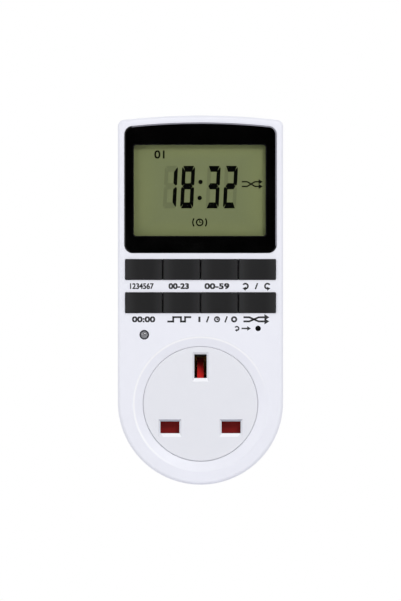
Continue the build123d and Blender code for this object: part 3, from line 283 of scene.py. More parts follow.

# Polycarbonate of the socket insert, a little greyer and smoother than the shells.
# The lead-ins of the apertures carry painted light as the photograph shows them: a painted highlight on the
# upward-facing feet, painted shade on the downward-facing tops
insertPlastic = mouldedPlastic("polycarbonateMouldedWhite", {
    "colour": "#E7E8ED", "shade": "#E3E4EA", "rough": 0.36, "grain": 0.30, "depth": 0.004, "flow": 7.0,
    "specular": 0.4},
    "socket_face")
leadInLightAndShade = {"foot": "#F4F5F9", "top": "#B4B6C0", "within": 18.0}
tree = insertPlastic.node_tree
leadReach = vectorMaths(tree, "LENGTH", flatOffset(tree, (0, 0, 0)))
leadNear = maths(tree, "LESS_THAN", leadReach, leadInLightAndShade["within"] * mm)
for colour, facing in ((leadInLightAndShade["foot"], (0, -0.707, 0.707)), (leadInLightAndShade["top"], (0, -0.707, -0.707))):
    tintPart(insertPlastic, maths(tree, "MULTIPLY", facingShare(tree, facing), leadNear), colour)

# Acrylic of the bezel, polished black: no grain, a mirror-like gloss with faint ripples.
# Its cut edge carries a painted highlight: paler at the top and on the right, where it falls away from the
# window
bezelPlastic = mouldedPlastic("acrylicPolishedBlack", {
    "colour": "#010101", "shade": "#020202", "rough": 0.10, "grain": 3.0, "depth": 0.002, "flow": 12.0,
    "ior": 1.49, "specular": 0.28},
    "display_bezel")
cutEdgeHighlight = {"colour": "#85858F", "facing": (0.5, -0.707, 0.5)}
windowLow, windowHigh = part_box("display_window")
tree = bezelPlastic.node_tree
edgeAway = vectorMaths(tree, "DOT_PRODUCT", flatOffset(tree, (windowLow + windowHigh) / 2),
                       addNode(tree, "ShaderNodeTexCoord", {}).outputs["Normal"])
edgeOutside = maths(tree, "GREATER_THAN", edgeAway, 0.0)
edgeHighlightShare = maths(tree, "MULTIPLY", facingShare(tree, cutEdgeHighlight["facing"]), edgeOutside)
tintPart(bezelPlastic, edgeHighlightShare, cutEdgeHighlight["colour"])

# ABS of the keys, moulded matt: charcoal, with a painted sheen that makes it paler towards the sides of each
# key
keys = {"middle": "#101011", "side": "#212122", "sheenFrom": 0.34, "rough": 0.42, "specular": 0.25,
        "grain": 0.30, "depth": 0.005}
keyNames = [name for name in nodes if name.startswith("key_")]
keyPlastic, tree = emptyMaterial("absMouldedCharcoal")
firstKey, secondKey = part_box("key_day")[0].x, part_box("key_hour")[0].x
keyAcross = addNode(tree, "ShaderNodeSeparateXYZ", {"Vector": objectPlace(tree)}).outputs["X"]
keyCount = addNode(tree, "ShaderNodeMapRange", {"clamp": False, "Value": keyAcross,
                                                "From Min": firstKey, "From Max": secondKey})
keySheen = smoothStep(tree, maths(tree, "PINGPONG", keyCount, 0.5), keys["sheenFrom"], 0.0)
addSurface(tree, {"Base Color": mixTone(tree, keySheen, keys["middle"], keys["side"]),
                  "Normal": grainBump(tree, keys["grain"], keys["depth"]),
                  "Roughness": keys["rough"], "IOR": 1.53, "Specular IOR Level": keys["specular"]})
dress(keyPlastic, *keyNames)

# Nylon of the shutter, moulded red, with painted shade and light: the flaps painted dark red, and the ramp
# painted dark at its top and brighter towards its foot
shutter = {"flap": "#7E0A05", "rampTopShade": "#4C0504", "rampFootLight": "#DA221C", "rampRise": 7.0, "rough": 0.45,
           "grain": 0.4, "depth": 0.006, "specular": 0.15}
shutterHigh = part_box("safety_shutter")[1]
shutterPlastic, tree = emptyMaterial("nylonMouldedRed")
shutterUp = addNode(tree, "ShaderNodeSeparateXYZ", {"Vector": objectPlace(tree)}).outputs["Z"]
rampLitShare = smoothStep(tree, shutterUp, shutterHigh.z, shutterHigh.z - shutter["rampRise"] * mm)
rampLightAndShade = mixTone(tree, rampLitShare, shutter["rampTopShade"], shutter["rampFootLight"])
flapShadeMask = maths(tree, "LESS_THAN", shutterUp, 0.0)  # the flaps stand below the middle of the socket
addSurface(tree, {"Base Color": mixTone(tree, flapShadeMask, rampLightAndShade, shutter["flap"]),
                  "Normal": grainBump(tree, shutter["grain"], shutter["depth"]),
                  "Roughness": shutter["rough"], "IOR": 1.53, "Specular IOR Level": shutter["specular"]})
dress(shutterPlastic, "safety_shutter")

# Urea resin of the contact carrier and its cover: creamy and hard
mouldedPlastic("ureaMouldedCream", {
    "colour": "#DAD6CA", "shade": "#D0CBBC", "rough": 0.50, "grain": 0.50, "depth": 0.010, "flow": 6.0},
    "contact_carrier", "contact_cover")

# Nylon of the display holder, natural white
mouldedPlastic("nylonMouldedNatural", {
    "colour": "#E6E6E0", "shade": "#DDDDD5", "rough": 0.45, "grain": 0.40, "depth": 0.008, "flow": 5.0},
    "lcd_holder")

# Polyamide of the switch, the reset button and the pin header: plain black
mouldedPlastic("polyamideMouldedBlack", {
    "colour": "#050505", "shade": "#080808", "rough": 0.55, "grain": 0.30, "depth": 0.006, "flow": 3.0,
    "specular": 0.2},
    "reset_switch", "reset_button", "board_link_header")

# PVC sleeves of the live pins: black with a dull sheen
mouldedPlastic("pvcMouldedBlack", {
    "colour": "#161616", "shade": "#1C1C1C", "rough": 0.48, "grain": 0.30, "depth": 0.010, "flow": 4.0},
    "line_pin_sleeve", "neutral_pin_sleeve")

# Silicone of the key mat: milky grey, soft to the light
siliconeRubber = mouldedPlastic("siliconeMouldedGrey", {
    "colour": "#BBBEC0", "shade": "#B2B5B8", "rough": 0.62, "grain": 0.25, "depth": 0.008, "flow": 5.0,
    "ior": 1.41},
    "keypad_mat")

# PBT case of the relay, epoxy case of the dropper, shrunk sleeve of the can
mouldedPlastic("pbtMouldedBlue", {
    "colour": "#1F3C8C", "shade": "#1B357E", "rough": 0.35, "grain": 0.30, "depth": 0.006, "flow": 6.0},
    "relay")
mouldedPlastic("epoxyCastYellow", {
    "colour": "#C79F28", "shade": "#BB9321", "rough": 0.40, "grain": 0.60, "depth": 0.012, "flow": 5.0},
    "dropper_capacitor")
mouldedPlastic("petShrunkBlack", {
    "colour": "#20242B", "shade": "#262B33", "rough": 0.30, "grain": 0.80, "depth": 0.006, "flow": 4.0},
    "smoothing_capacitor")

# Dipped epoxy of the resistors and the varistor: blue, thick and wavy
mouldedPlastic("epoxyDippedBlue", {
    "colour": "#2C5EA0", "shade": "#274F8A", "rough": 0.32, "grain": 0.90, "depth": 0.030, "flow": 3.0},
    "surge_varistor", "power_resistors")

# Epoxy moulding compound of the chip, rectifier and transistor: black with a mineral grain
mouldedPlastic("epoxyMouldedBlack", {
    "colour": "#131313", "shade": "#1B1B1B", "rough": 0.50, "grain": 0.20, "depth": 0.010, "flow": 2.0},
    "control_chip", "bridge_rectifier", "relay_transistor")

# Brass of the plug pins: machined along their length
workedMetal("brassMachined", {
    "colour": "#CFAE6A", "shade": "#C3A05A", "rough": 0.26, "line": 0.25, "along": (1, 0.08, 1),
    "depth": 0.004, "stain": 6.0},
    "line_pin", "neutral_pin", "earth_pin", "board_link_pins")

# Phosphor bronze of the contacts and straps: pressed from rolled strip
workedMetal("phosphorBronzePressed", {
    "colour": "#86603A", "shade": "#76522F", "rough": 0.32, "line": 0.20, "along": (1, 1, 0.1),
    "depth": 0.004, "stain": 4.0},
    "line_contact", "neutral_contact", "earth_contact", "neutral_strap", "switched_line_strap", "line_bus_bar")

# Steel of the screws and the spring: zinc plated and passivated, with a faint blue
zincSteel = workedMetal("steelZincPlated", {
    "colour": "#C3C8CE", "shade": "#B4BAC2", "rough": 0.30, "line": 0.15, "along": (1, 0.3, 1),
    "depth": 0.003, "stain": 2.0},
    "housing_screws", "control_board_screws", "shutter_spring")

# Steel of the cell, its tabs, the crystal and the snap dome: nickel plated, drawn
nickelSteel = workedMetal("steelNickelPlated", {
    "colour": "#D2D0CA", "shade": "#C6C4BD", "rough": 0.22, "line": 0.20, "along": (1, 1, 0.15),
    "depth": 0.002, "stain": 5.0},
    "backup_battery", "battery_tabs", "clock_crystal", "reset_snap_dome", "led_leads")

# Foil behind the cell: matt aluminium with a rolled grain
workedMetal("aluminiumRolledMatt", {
    "colour": "#C9CCC8", "shade": "#BDC1BC", "rough": 0.50, "line": 0.20, "along": (0.1, 1, 1),
    "depth": 0.002, "stain": 8.0},
    "lcd_reflector")

# Rubber connector: thin dark conducting layers every 0.2 mm, drawn at 0.8 mm so that they show
zebra = {"pitch": 0.8, "pale": "#C9C6BE", "dark": "#2B2A29", "rough": 0.6}
zebraRubber, tree = emptyMaterial("siliconeLayeredConductive")
zebraWave = addNode(tree, "ShaderNodeTexWave",
                    {"bands_direction": "X", "Scale": pi / (10 * zebra["pitch"] * mm),
                     "Vector": objectPlace(tree)})
addSurface(tree, {"Base Color": mixTone(tree, zebraWave.outputs["Fac"], zebra["pale"], zebra["dark"]),
                  "Roughness": zebra["rough"], "IOR": 1.41})
dress(zebraRubber, "zebra_strips")

# Glass-fibre laminate of the boards: green resist over copper tracks, with the weave faintly through it
board = {"resist": "#1B5B33", "overCopper": "#2C7A45", "rough": 0.30, "track": 1.27, "weave": 0.5,
         "depth": 0.01}
boardLaminate, tree = emptyMaterial("laminateGreenResist")
boardPlace = objectPlace(tree)
boardTurn = addNode(tree, "ShaderNodeMapping", {"Rotation": (radians(90), 0, 0), "Vector": boardPlace})
tracks = addNode(tree, "ShaderNodeTexBrick",
                 {"Scale": 1 / (board["track"] * 4 * mm), "Brick Width": 1.4, "Row Height": 0.25,
                  "Color1": (1, 1, 1, 1), "Color2": (0.8, 0.8, 0.8, 1), "Mortar": (0, 0, 0, 1),
                  "Mortar Size": 0.06, "Vector": boardTurn})
weave = addNode(tree, "ShaderNodeTexVoronoi", {"Scale": 1 / (board["weave"] * mm), "Randomness": 0.2,
                                               "Vector": boardPlace})
boardBump = addNode(tree, "ShaderNodeBump", {"Strength": 0.3, "Distance": board["depth"] * mm,
                                             "Height": weave.outputs["Distance"]})
addSurface(tree, {"Base Color": mixTone(tree, tracks.outputs["Color"], board["resist"], board["overCopper"]),
                  "Roughness": board["rough"], "IOR": 1.54, "Normal": boardBump})
dress(boardLaminate, "control_board", "power_board")

# Acrylic pane over the display: clear and polished, with a trace of smoke tint
pane = {"smoke": "#14160F", "share": 0.05, "haze": 2.5, "gloss": (0.03, 0.10)}
clearPane, tree = emptyMaterial("acrylicPolishedClear")
haze = noiseTexture(tree, pane["haze"], 4.0, objectPlace(tree))
paneGloss = addNode(tree, "ShaderNodeMapRange",
                    {"Value": haze, "To Min": pane["gloss"][0], "To Max": pane["gloss"][1]})
addSurface(tree, {"Base Color": srgb(pane["smoke"]), "Roughness": paneGloss, "IOR": 1.49,
                  "Alpha": pane["share"]})
dress(clearPane, "display_window")

# Liquid crystal cell under its polariser: grey olive, with painted light that makes it paler and yellower
# towards its edges, against the shade of the bezel there
lcd = {"middle": "#7A8259", "edge": "#828A5B", "halfWide": 23.6, "halfHigh": 16.3, "litFrom": 0.55,
       "film": 0.5, "depth": 0.002, "rough": 0.38, "specular": 0.25}
panelLow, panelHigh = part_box("lcd_panel")
lcdGlass, tree = emptyMaterial("glassPolarisedOlive")
lcdFlat = addNode(tree, "ShaderNodeMapping",
                  {"vector_type": "TEXTURE", "Location": (panelLow + panelHigh) / 2,
                   "Scale": (lcd["halfWide"] * mm, mm, lcd["halfHigh"] * mm), "Vector": objectPlace(tree)})
lcdAxes = addNode(tree, "ShaderNodeSeparateXYZ", {"Vector": lcdFlat}).outputs
lcdOut = maths(tree, "MAXIMUM", maths(tree, "ABSOLUTE", lcdAxes["X"]), maths(tree, "ABSOLUTE", lcdAxes["Z"]))
lcdLitRim = smoothStep(tree, lcdOut, lcd["litFrom"], 1.0)
addSurface(tree, {"Base Color": mixTone(tree, lcdLitRim, lcd["middle"], lcd["edge"]),
                  "Normal": grainBump(tree, lcd["film"], lcd["depth"], strength=0.2),
                  "Roughness": lcd["rough"], "IOR": 1.5, "Specular IOR Level": lcd["specular"]})
dress(lcdGlass, "lcd_panel")
print("CAD nodes dressed")


def newPiece(name, bm, material, body="housing"):
    # Closes small gaps, turns the faces outward and puts the piece on its body
    gap = 0.001 * mm
    bmesh.ops.remove_doubles(bm, verts=bm.verts, dist=gap)
    bmesh.ops.dissolve_degenerate(bm, edges=bm.edges, dist=gap)
    bmesh.ops.recalc_face_normals(bm, faces=bm.faces)
    mesh = bpy.data.meshes.new(name)
    bm.to_mesh(mesh)
    bm.free()
    mesh.materials.append(material)
    piece = bpy.data.objects.new(name, mesh)
    bpy.context.scene.collection.objects.link(piece)
    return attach(piece, body)


def metres(*values):
    return tuple(value * mm for value in values)


def middleOf(name):
    # Middle of a node seen from the front, in millimetres
    low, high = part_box(name)
    return (low.x + high.x) / 2 / mm, (low.z + high.z) / 2 / mm


def pullFaces(bm, faces, distance):
    # Extrudes faces towards the front and returns the corners that moved
    pulled = bmesh.ops.extrude_face_region(bm, geom=faces)["geom"]
    corners = [item for item in pulled if isinstance(item, bmesh.types.BMVert)]
    bmesh.ops.translate(bm, verts=corners, vec=(0, -distance * mm, 0))
    return corners


def edgesOf(verts):
    return {edge for vert in verts for edge in vert.link_edges}


def addRing(bm, radius, place, segments, filled=False):
    # Circle that faces the viewer, round a place in metres
    turned = Matrix.Translation(place) @ Matrix.Rotation(radians(90), 4, "X")
    ring = bmesh.ops.create_circle(bm, cap_ends=filled, segments=segments, radius=radius * mm, matrix=turned)
    return ring["verts"]


# How signs are drawn: steps of an arc and of a number's curves, corners of a dot, how far the copies of
# a number stand apart in depth, and for an arrow head of length 1 its half width and its run past an arc
drawing = {"degreesPerStep": 12, "fewestSteps": 6, "curveSteps": 5, "dotCorners": 20, "copyApart": 0.003,
           "headWide": 0.62, "headPast": 0.75}


def addPlate(bm, corners, layer):
    face = bm.faces.new([bm.verts.new(metres(x, layer["y"], z)) for x, z in corners])
    pullFaces(bm, [face], layer["thick"])


def addBar(bm, start, end, width, layer):
    along = (Vector(end) - Vector(start)).normalized() * width / 2
    side = Vector((-along.y, along.x))
    ends = [Vector(start) + side, Vector(start) - side, Vector(end) - side, Vector(end) + side]
    addPlate(bm, [tuple(corner) for corner in ends], layer)


def addArc(bm, middle, radius, width, start, sweep, layer):
    # A line across the stroke, spun round the middle of the arc
    x, z = middle
    turn = radians(start)
    ends = [bm.verts.new(metres(x + reach * cos(turn), layer["y"], z + reach * sin(turn)))
            for reach in (radius - width / 2, radius + width / 2)]
    edge = bm.edges.new(ends)
    old = set(bm.faces)
    steps = max(drawing["fewestSteps"], int(abs(sweep) / drawing["degreesPerStep"]))
    bmesh.ops.spin(bm, geom=[edge] + ends, cent=metres(x, layer["y"], z), axis=(0, -1, 0),
                   angle=radians(sweep), steps=steps, use_merge=abs(sweep) == 360)
    pullFaces(bm, [face for face in bm.faces if face not in old], layer["thick"])


def addHead(bm, tip, angle, size, layer):
    # Arrow head with its tip at a point
    turn = radians(angle)
    corners = [tip]
    for x, z in ((-size, size * drawing["headWide"]), (-size, -size * drawing["headWide"])):
        corners.append((tip[0] + x * cos(turn) - z * sin(turn), tip[1] + x * sin(turn) + z * cos(turn)))
    addPlate(bm, corners, layer)


def addTurnArrow(bm, middle, radius, start, sweep, width, head, layer):
    # Arc that ends in an arrow head
    addArc(bm, middle, radius, width, start, sweep, layer)
    end = radians(start + sweep)
    way = 1 if sweep > 0 else -1
    past = way * head * drawing["headPast"]
    tip = (middle[0] + radius * cos(end) - past * sin(end), middle[1] + radius * sin(end) + past * cos(end))
    addHead(bm, tip, start + sweep + way * 90, head, layer)


def addCrossing(bm, middle, sign, width, layer):
    # Two lines that change places and end in arrow heads
    x, z = middle
    tail, bend, secondBend, end, tip = [x + reach for reach in sign["along"]]
    for flip in (-sign["apart"], sign["apart"]):
        addBar(bm, (tail, z + flip), (bend, z + flip), width, layer)
        addBar(bm, (bend - sign["lap"], z + flip), (secondBend + sign["lap"], z - flip), width, layer)
        addBar(bm, (secondBend, z - flip), (end, z - flip), width, layer)
        addHead(bm, (tip, z - flip), 0, sign["head"], layer)


def addClock(bm, middle, clock, layer):
    # A ring with two hands
    x, z = middle
    addArc(bm, middle, clock["radius"], clock["ring"], 0, 360, layer)
    addBar(bm, (x, z - clock["lap"]), (x, z + clock["long"]), clock["hand"], layer)
    addBar(bm, (x - clock["lap"], z), (x + clock["short"], z), clock["hand"], layer)


def addDot(bm, middle, radius, layer):
    disc = addRing(bm, radius, metres(middle[0], layer["y"], middle[1]), drawing["dotCorners"], filled=True)
    pullFaces(bm, list({face for vert in disc for face in vert.link_faces}), layer["thick"])


def addNumbers(bm, words, box, layer):
    # Numbers in the plain built-in face, fitted into a box of middle x, middle z, width and height
    curve = bpy.data.curves.new(words, "FONT")
    curve.body = words
    curve.resolution_u = drawing["curveSteps"]
    holder = bpy.data.objects.new(words, curve)
    bpy.context.scene.collection.objects.link(holder)
    bpy.context.view_layer.update()
    mesh = bpy.data.meshes.new_from_object(holder.evaluated_get(bpy.context.evaluated_depsgraph_get()))
    bpy.data.objects.remove(holder)
    low = Vector([min(v.co[i] for v in mesh.vertices) for i in range(3)])
    high = Vector([max(v.co[i] for v in mesh.vertices) for i in range(3)])
    x, z, width, height = metres(*box)
    bold = layer["bold"] * mm  # the figures are laid down four times, a little apart, for heavy strokes
    across, up = (width - 2 * bold) / (high.x - low.x), (height - 2 * bold) / (high.y - low.y)
    fit = Matrix.Diagonal((across, up, 1, 1))
    place = Matrix.Translation((x, layer["y"] * mm, z)) @ Matrix.Rotation(radians(90), 4, "X")
    mesh.transform(place @ fit @ Matrix.Translation(-(low + high) / 2))
    old = set(bm.faces)
    for right, rise, out in ((-1, -1, 0), (1, -1, 1), (1, 1, 2), (-1, 1, 3)):
        copy = mesh.copy()
        copy.transform(Matrix.Translation((right * bold, -out * drawing["copyApart"] * mm, rise * bold)))
        bm.from_mesh(copy)
        bpy.data.meshes.remove(copy)
    bpy.data.meshes.remove(mesh)
    pullFaces(bm, [face for face in bm.faces if face not in old], layer["thick"])


# Digits of the display: seven-bar figures that lean to the right
digits = {"wide": 4.75, "high": 15.4, "waist": 8.0, "lean": 0.05,
          "footBelowMiddle": 6.5, "rightOfMiddle": 0.3,
          "left": (-13.67, -7.42, 1.83, 8.11), "shown": ("bc", "abcdefg", "abcdg", "abdeg"),
          "dots": ((0.0, 3.05), (-0.3, -2.75)), "dotRadius": 0.80}
lcdLayer = {"y": panelLow.y / mm + 0.002, "thick": 0.02, "bold": 0.08}
ghostLayer = {"y": panelLow.y / mm + 0.002, "thick": 0.01}
screenX, screenZ = middleOf("lcd_panel")
screenX += digits["rightOfMiddle"]
w, h, waist = digits["wide"], digits["high"], digits["waist"]


def uprightBar(end, way):
    # Left bar between the waist and the top (way 1) or the foot (way -1) of a figure
    return [(0.25, end - way * 0.42), (0.0, end - way * 0.95), (0.0, waist + way * 0.65),
            (0.45, waist + way * 0.20), (1.36, waist + way * 1.10), (1.36, end - way * 2.25)]


# Outlines of the bars, in millimetres from the lower left corner of a figure
bars = {
    "a": [(0.42, h), (w - 0.42, h), (w - 1.22, h - 2.15), (1.22, h - 2.15)],
    "d": [(0.34, 0.0), (w - 0.34, 0.0), (w - 1.20, 2.15), (1.20, 2.15)],
    "g": [(0.55, waist), (1.28, waist + 1.12), (w - 1.28, waist + 1.12),
          (w - 0.55, waist), (w - 1.28, waist - 1.12), (1.28, waist - 1.12)],
    "f": uprightBar(h, 1),
    "e": uprightBar(0.0, -1),
    "b": [(w - x, z) for x, z in uprightBar(h, 1)],
    "c": [(w - x, z) for x, z in uprightBar(0.0, -1)],
}
lit, dim = bmesh.new(), bmesh.new()
for left, shown in zip(digits["left"], digits["shown"]):
    for letter, outline in bars.items():
        corners = [(screenX + left + x + digits["lean"] * z, screenZ - digits["footBelowMiddle"] + z)
                   for x, z in outline]
        if letter in shown:
            addPlate(lit, corners, lcdLayer)
        else:
            addPlate(dim, corners, ghostLayer)
for x, z in digits["dots"]:
    addDot(lit, (screenX + x, screenZ + z), digits["dotRadius"], lcdLayer)

# Small symbols round the digits: a day number, crossing arrows and a running clock between brackets
symbols = {"stroke": 0.50, "day": (-14.9, 13.05), "daySize": (3.7, 3.0),
           "crossing": (18.7, 2.3), "clock": (-0.3, -11.6), "bracketRadius": 2.5, "bracketSweep": 70}
lcdCrossing = {"along": (-3.7, -1.7, 1.0, 2.4, 3.9), "apart": 0.85, "lap": 0.05, "head": 1.5}
lcdClock = {"radius": 1.15, "ring": symbols["stroke"], "long": 0.85, "short": 0.65, "hand": 0.3, "lap": 0.1}
dayPlace, crossingPlace, clockPlace = [(screenX + symbols[sign][0], screenZ + symbols[sign][1])
                                       for sign in ("day", "crossing", "clock")]
addNumbers(lit, "01", (*dayPlace, *symbols["daySize"]), lcdLayer)
addCrossing(lit, crossingPlace, lcdCrossing, symbols["stroke"], lcdLayer)
addClock(lit, clockPlace, lcdClock, lcdLayer)
for side in (0, 180):
    addArc(lit, clockPlace, symbols["bracketRadius"], symbols["stroke"], side - symbols["bracketSweep"] / 2,
           symbols["bracketSweep"], lcdLayer)

# Darkened liquid crystal: black with the film's soft sheen. Cleared bars stay faintly visible
lcdInk = mouldedPlastic("crystalDarkened", {
    "colour": "#060705", "shade": "#080907", "rough": 0.50, "grain": 0.50, "depth": 0.0005, "flow": 3.0,
    "specular": 0.0})
lcdGhost = mouldedPlastic("crystalCleared", {
    "colour": "#717855", "shade": "#6F7653", "rough": 0.50, "grain": 0.50, "depth": 0.0005, "flow": 3.0,
    "specular": 0.1})
newPiece("lcd_digits", lit, lcdInk)
newPiece("lcd_ghost_bars", dim, lcdGhost)
print("display drawn")

# Marks printed under the keys: plain numbers and signs, in black ink.
# Numbers are given as words, middle, width and boldness, turning arrows as middle, start and sweep
printInk = mouldedPlastic("inkPadPrintedBlack", {
    "colour": "#0E0E12", "shade": "#141418", "rough": 0.50, "grain": 0.12, "depth": 0.002, "flow": 1.0})
marks = {"high": 2.15, "underKeys": 6.05,
         "upperNumbers": (("1234567", -21.3, 8.6, 0.09), ("00-23", -7.9, 7.4, 0.13),
                          ("00-59", 5.95, 9.0, 0.13)),
         "lowerNumbers": (("00:00", -20.65, 8.4, 0.13),),
         "turns": ((16.3, 150, -250), (24.3, 30, 250)), "turnRadius": 0.92, "turnHead": 1.2,
         "pulse": ((-11.7, -0.80), (-9.9, -0.80), (-9.9, 0.80), (-7.1, 0.80), (-7.1, -0.80), (-5.6, -0.80),
                   (-5.6, 0.80), (-3.7, 0.80)),
         "pulseLap": 0.48,  # not quite half a stroke, so that no two bars share a corner
         "on": (-0.4, 0.97), "clock": 6.0, "off": (12.2, 0.80),
         "upperSlash": 20.3, "lowerSlashes": (2.6, 9.3), "slashLean": 0.4, "slashReach": 1.1,
         "reset": (13.2, 150, -250), "resetRadius": 0.68, "resetHead": 0.85,
         "pointer": (14.9, 17.0, 18.3), "pointerHead": 1.35}
strokes = {"plain": 0.66, "on": 0.759, "turn": 0.594, "thin": 0.528, "reset": 0.495, "hand": 0.429}
inkLayer = {"y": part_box("front_shell")[0].y / mm + 0.005, "thick": 0.02}
inkCrossing = {"along": (15.6, 17.8, 21.0, 23.2, 25.0), "apart": 0.75, "lap": 0.1, "head": 1.8}
inkClock = {"radius": 0.85, "ring": strokes["thin"], "hand": strokes["hand"], "long": 0.62, "short": 0.5,
            "lap": 0.1}
upper, lower = [middleOf(name)[1] - marks["underKeys"] for name in ("key_day", "key_clock")]
resetZ = middleOf("reset_button")[1]
ink = bmesh.new()
for z, numbers in ((upper, marks["upperNumbers"]), (lower, marks["lowerNumbers"])):
    for words, middle, wide, bold in numbers:
        addNumbers(ink, words, (middle, z, wide, marks["high"]), {**inkLayer, "bold": bold})
for x, start, sweep in marks["turns"]:
    addTurnArrow(ink, (x, upper), marks["turnRadius"], start, sweep, strokes["turn"], marks["turnHead"],
                 inkLayer)
for start, end in zip(marks["pulse"], marks["pulse"][1:]):
    lap = (Vector(end) - Vector(start)).normalized() * strokes["plain"] * marks["pulseLap"]
    addBar(ink, (start[0] - lap.x, lower + start[1] - lap.y), (end[0] + lap.x, lower + end[1] + lap.y),
           strokes["plain"], inkLayer)

# On, by the clock, off; between them and between the turning arrows stand slashes
x, reach = marks["on"]
addBar(ink, (x, lower - reach), (x, lower + reach), strokes["on"], inkLayer)
x, radius = marks["off"]
addArc(ink, (x, lower), radius, strokes["plain"], 0, 360, inkLayer)
addClock(ink, (marks["clock"], lower), inkClock, inkLayer)
side, reach = marks["slashLean"], marks["slashReach"]
for x, z in ((marks["upperSlash"], upper), *[(x, lower) for x in marks["lowerSlashes"]]):
    addBar(ink, (x - side, z - reach), (x + side, z + reach), strokes["thin"], inkLayer)
addCrossing(ink, (0, lower), inkCrossing, strokes["plain"], inkLayer)

# Beside the reset button: a turning arrow, and a pointer to its hole
x, start, sweep = marks["reset"]
addTurnArrow(ink, (x, resetZ), marks["resetRadius"], start, sweep, strokes["reset"], marks["resetHead"],
             inkLayer)
start, end, tip = marks["pointer"]
addBar(ink, (start, resetZ), (end, resetZ), strokes["thin"], inkLayer)
addHead(ink, (tip, resetZ), 0, marks["pointerHead"], inkLayer)
newPiece("printed_marks", ink, printInk)
print("marks printed")


def spinProfile(bm, profile, middle, steps=48):
    # Turns a profile of radius and y round an axis that points at the viewer
    x, z = middle
    line = [bm.verts.new(metres(x + radius, y, z)) for radius, y in profile]
    edges = [bm.edges.new(pair) for pair in zip(line, line[1:])]
    bmesh.ops.spin(bm, geom=line + edges, cent=metres(x, 0, z), axis=(0, 1, 0), angle=2 * pi, steps=steps,
                   use_merge=True)


def fillOpenings(bm, sides):
    bmesh.ops.holes_fill(bm, edges=[edge for edge in bm.edges if edge.is_boundary], sides=sides)


# Indicator lamp: clear cast lens with a round nose, over a small metal cup. The lens is painted darker towards
# its rim, as painted shade
ledLow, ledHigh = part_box("indicator_led")
ledX, ledZ = middleOf("indicator_led")
lamp = {"base": ledHigh.y / mm, "tip": ledLow.y / mm, "radius": 1.5, "flange": 1.65, "flangeHigh": 1.0,
        "middleTone": "#85868F", "rimShadeTone": "#2E2B35", "rimFrom": 0.95, "rimTo": 1.35,
        "rough": 0.08, "clear": 0.85, "coatRough": 0.04, "wave": 0.8, "waveDeep": 0.01}
lensResin, tree = emptyMaterial("epoxyCastClear")
lensAway = vectorMaths(tree, "LENGTH", flatOffset(tree, metres(ledX, 0, ledZ)))
lensShadeRim = smoothStep(tree, lensAway, lamp["rimFrom"] * mm, lamp["rimTo"] * mm)
addSurface(tree, {"Base Color": mixTone(tree, lensShadeRim, lamp["middleTone"], lamp["rimShadeTone"]),
                  "Roughness": lamp["rough"], "IOR": 1.53, "Transmission Weight": lamp["clear"],
                  "Coat Weight": 1.0, "Coat Roughness": lamp["coatRough"], "Coat IOR": 1.9,
                  "Normal": grainBump(tree, lamp["wave"], lamp["waveDeep"], strength=0.3, detail=1.0)})
base, nose, shoulder = lamp["base"], lamp["radius"], lamp["base"] - lamp["flangeHigh"]
profile = [(0, base), (lamp["flange"], base), (lamp["flange"], shoulder), (nose, shoulder)]
for angle in range(0, 90, 10):
    profile.append((nose * cos(radians(angle)), lamp["tip"] + nose - nose * sin(radians(angle))))
profile.append((0, lamp["tip"]))
bm = bmesh.new()
spinProfile(bm, profile, (ledX, ledZ))
lensPiece = newPiece("lamp_lens", bm, lensResin)
lensPiece.data.shade_smooth()
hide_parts("indicator_led")

cup = {"front": -36.6, "deep": 0.75, "base": 0.5, "floor": 0.4275, "inner": 0.855, "radius": 0.95}
cupFloor = cup["front"] + cup["deep"]
cupBack = cupFloor + cup["base"]
bm = bmesh.new()
spinProfile(bm, [(0, cupFloor), (cup["floor"], cupFloor), (cup["inner"], cup["front"]),
                 (cup["radius"], cup["front"]), (cup["radius"], cupBack), (0, cupBack)],
            (ledX, ledZ), 32)
newPiece("lamp_cup", bm, nickelSteel)

# Screws on the back: pan heads with a cross recess, in their counterbores
screwLow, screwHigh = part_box("housing_screws")
screw = {"top": screwHigh.y / mm, "seat": -2.0, "tip": screwLow.y / mm, "corners": 24,
         "point": 0.48, "pointHigh": 1.2, "shank": 1.14, "head": 2.2, "rimHigh": 0.6,
         "shoulder": 2.068, "crown": 1.76, "crownHigh": 0.35, "arm": 1.2, "slot": 0.28, "recess": 0.9}
screwX = screwHigh.x / mm - screw["head"]
screwZ = (screwLow.z / mm + screw["head"], screwHigh.z / mm - screw["head"])
screwRings = ((screw["point"], screw["tip"]), (screw["shank"], screw["tip"] + screw["pointHigh"]),
              (screw["shank"], screw["seat"]), (screw["head"], screw["seat"]),
              (screw["head"], screw["seat"] + screw["rimHigh"]),
              (screw["shoulder"], screw["top"] - screw["crownHigh"]), (screw["crown"], screw["top"]))
arm, half = screw["arm"], screw["slot"]
crossOutline = [(arm, half), (half, half), (half, arm), (-half, arm), (-half, half), (-arm, half),
                (-arm, -half), (-half, -half), (-half, -arm), (half, -arm), (half, -half), (arm, -half)]
bm = bmesh.new()
for x, z in [(side * screwX, z) for z in screwZ for side in (-1, 1)]:
    rims = [edgesOf(addRing(bm, radius, metres(x, y, z), screw["corners"])) for radius, y in screwRings]
    for y in (screw["top"], screw["top"] - screw["recess"]):
        cross = [bm.verts.new(metres(x + a, y, z + b)) for a, b in crossOutline]
        rims.append({bm.edges.new((cross[i - 1], cross[i])) for i in range(len(cross))})
    for first, second in zip(rims, rims[1:]):
        bmesh.ops.bridge_loops(bm, edges=list(first | second))
    bm.faces.new(cross)
fillOpenings(bm, screw["corners"])
screws = newPiece("pan_head_screws", bm, zincSteel)
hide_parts("housing_screws")
print("lamp and screws made")
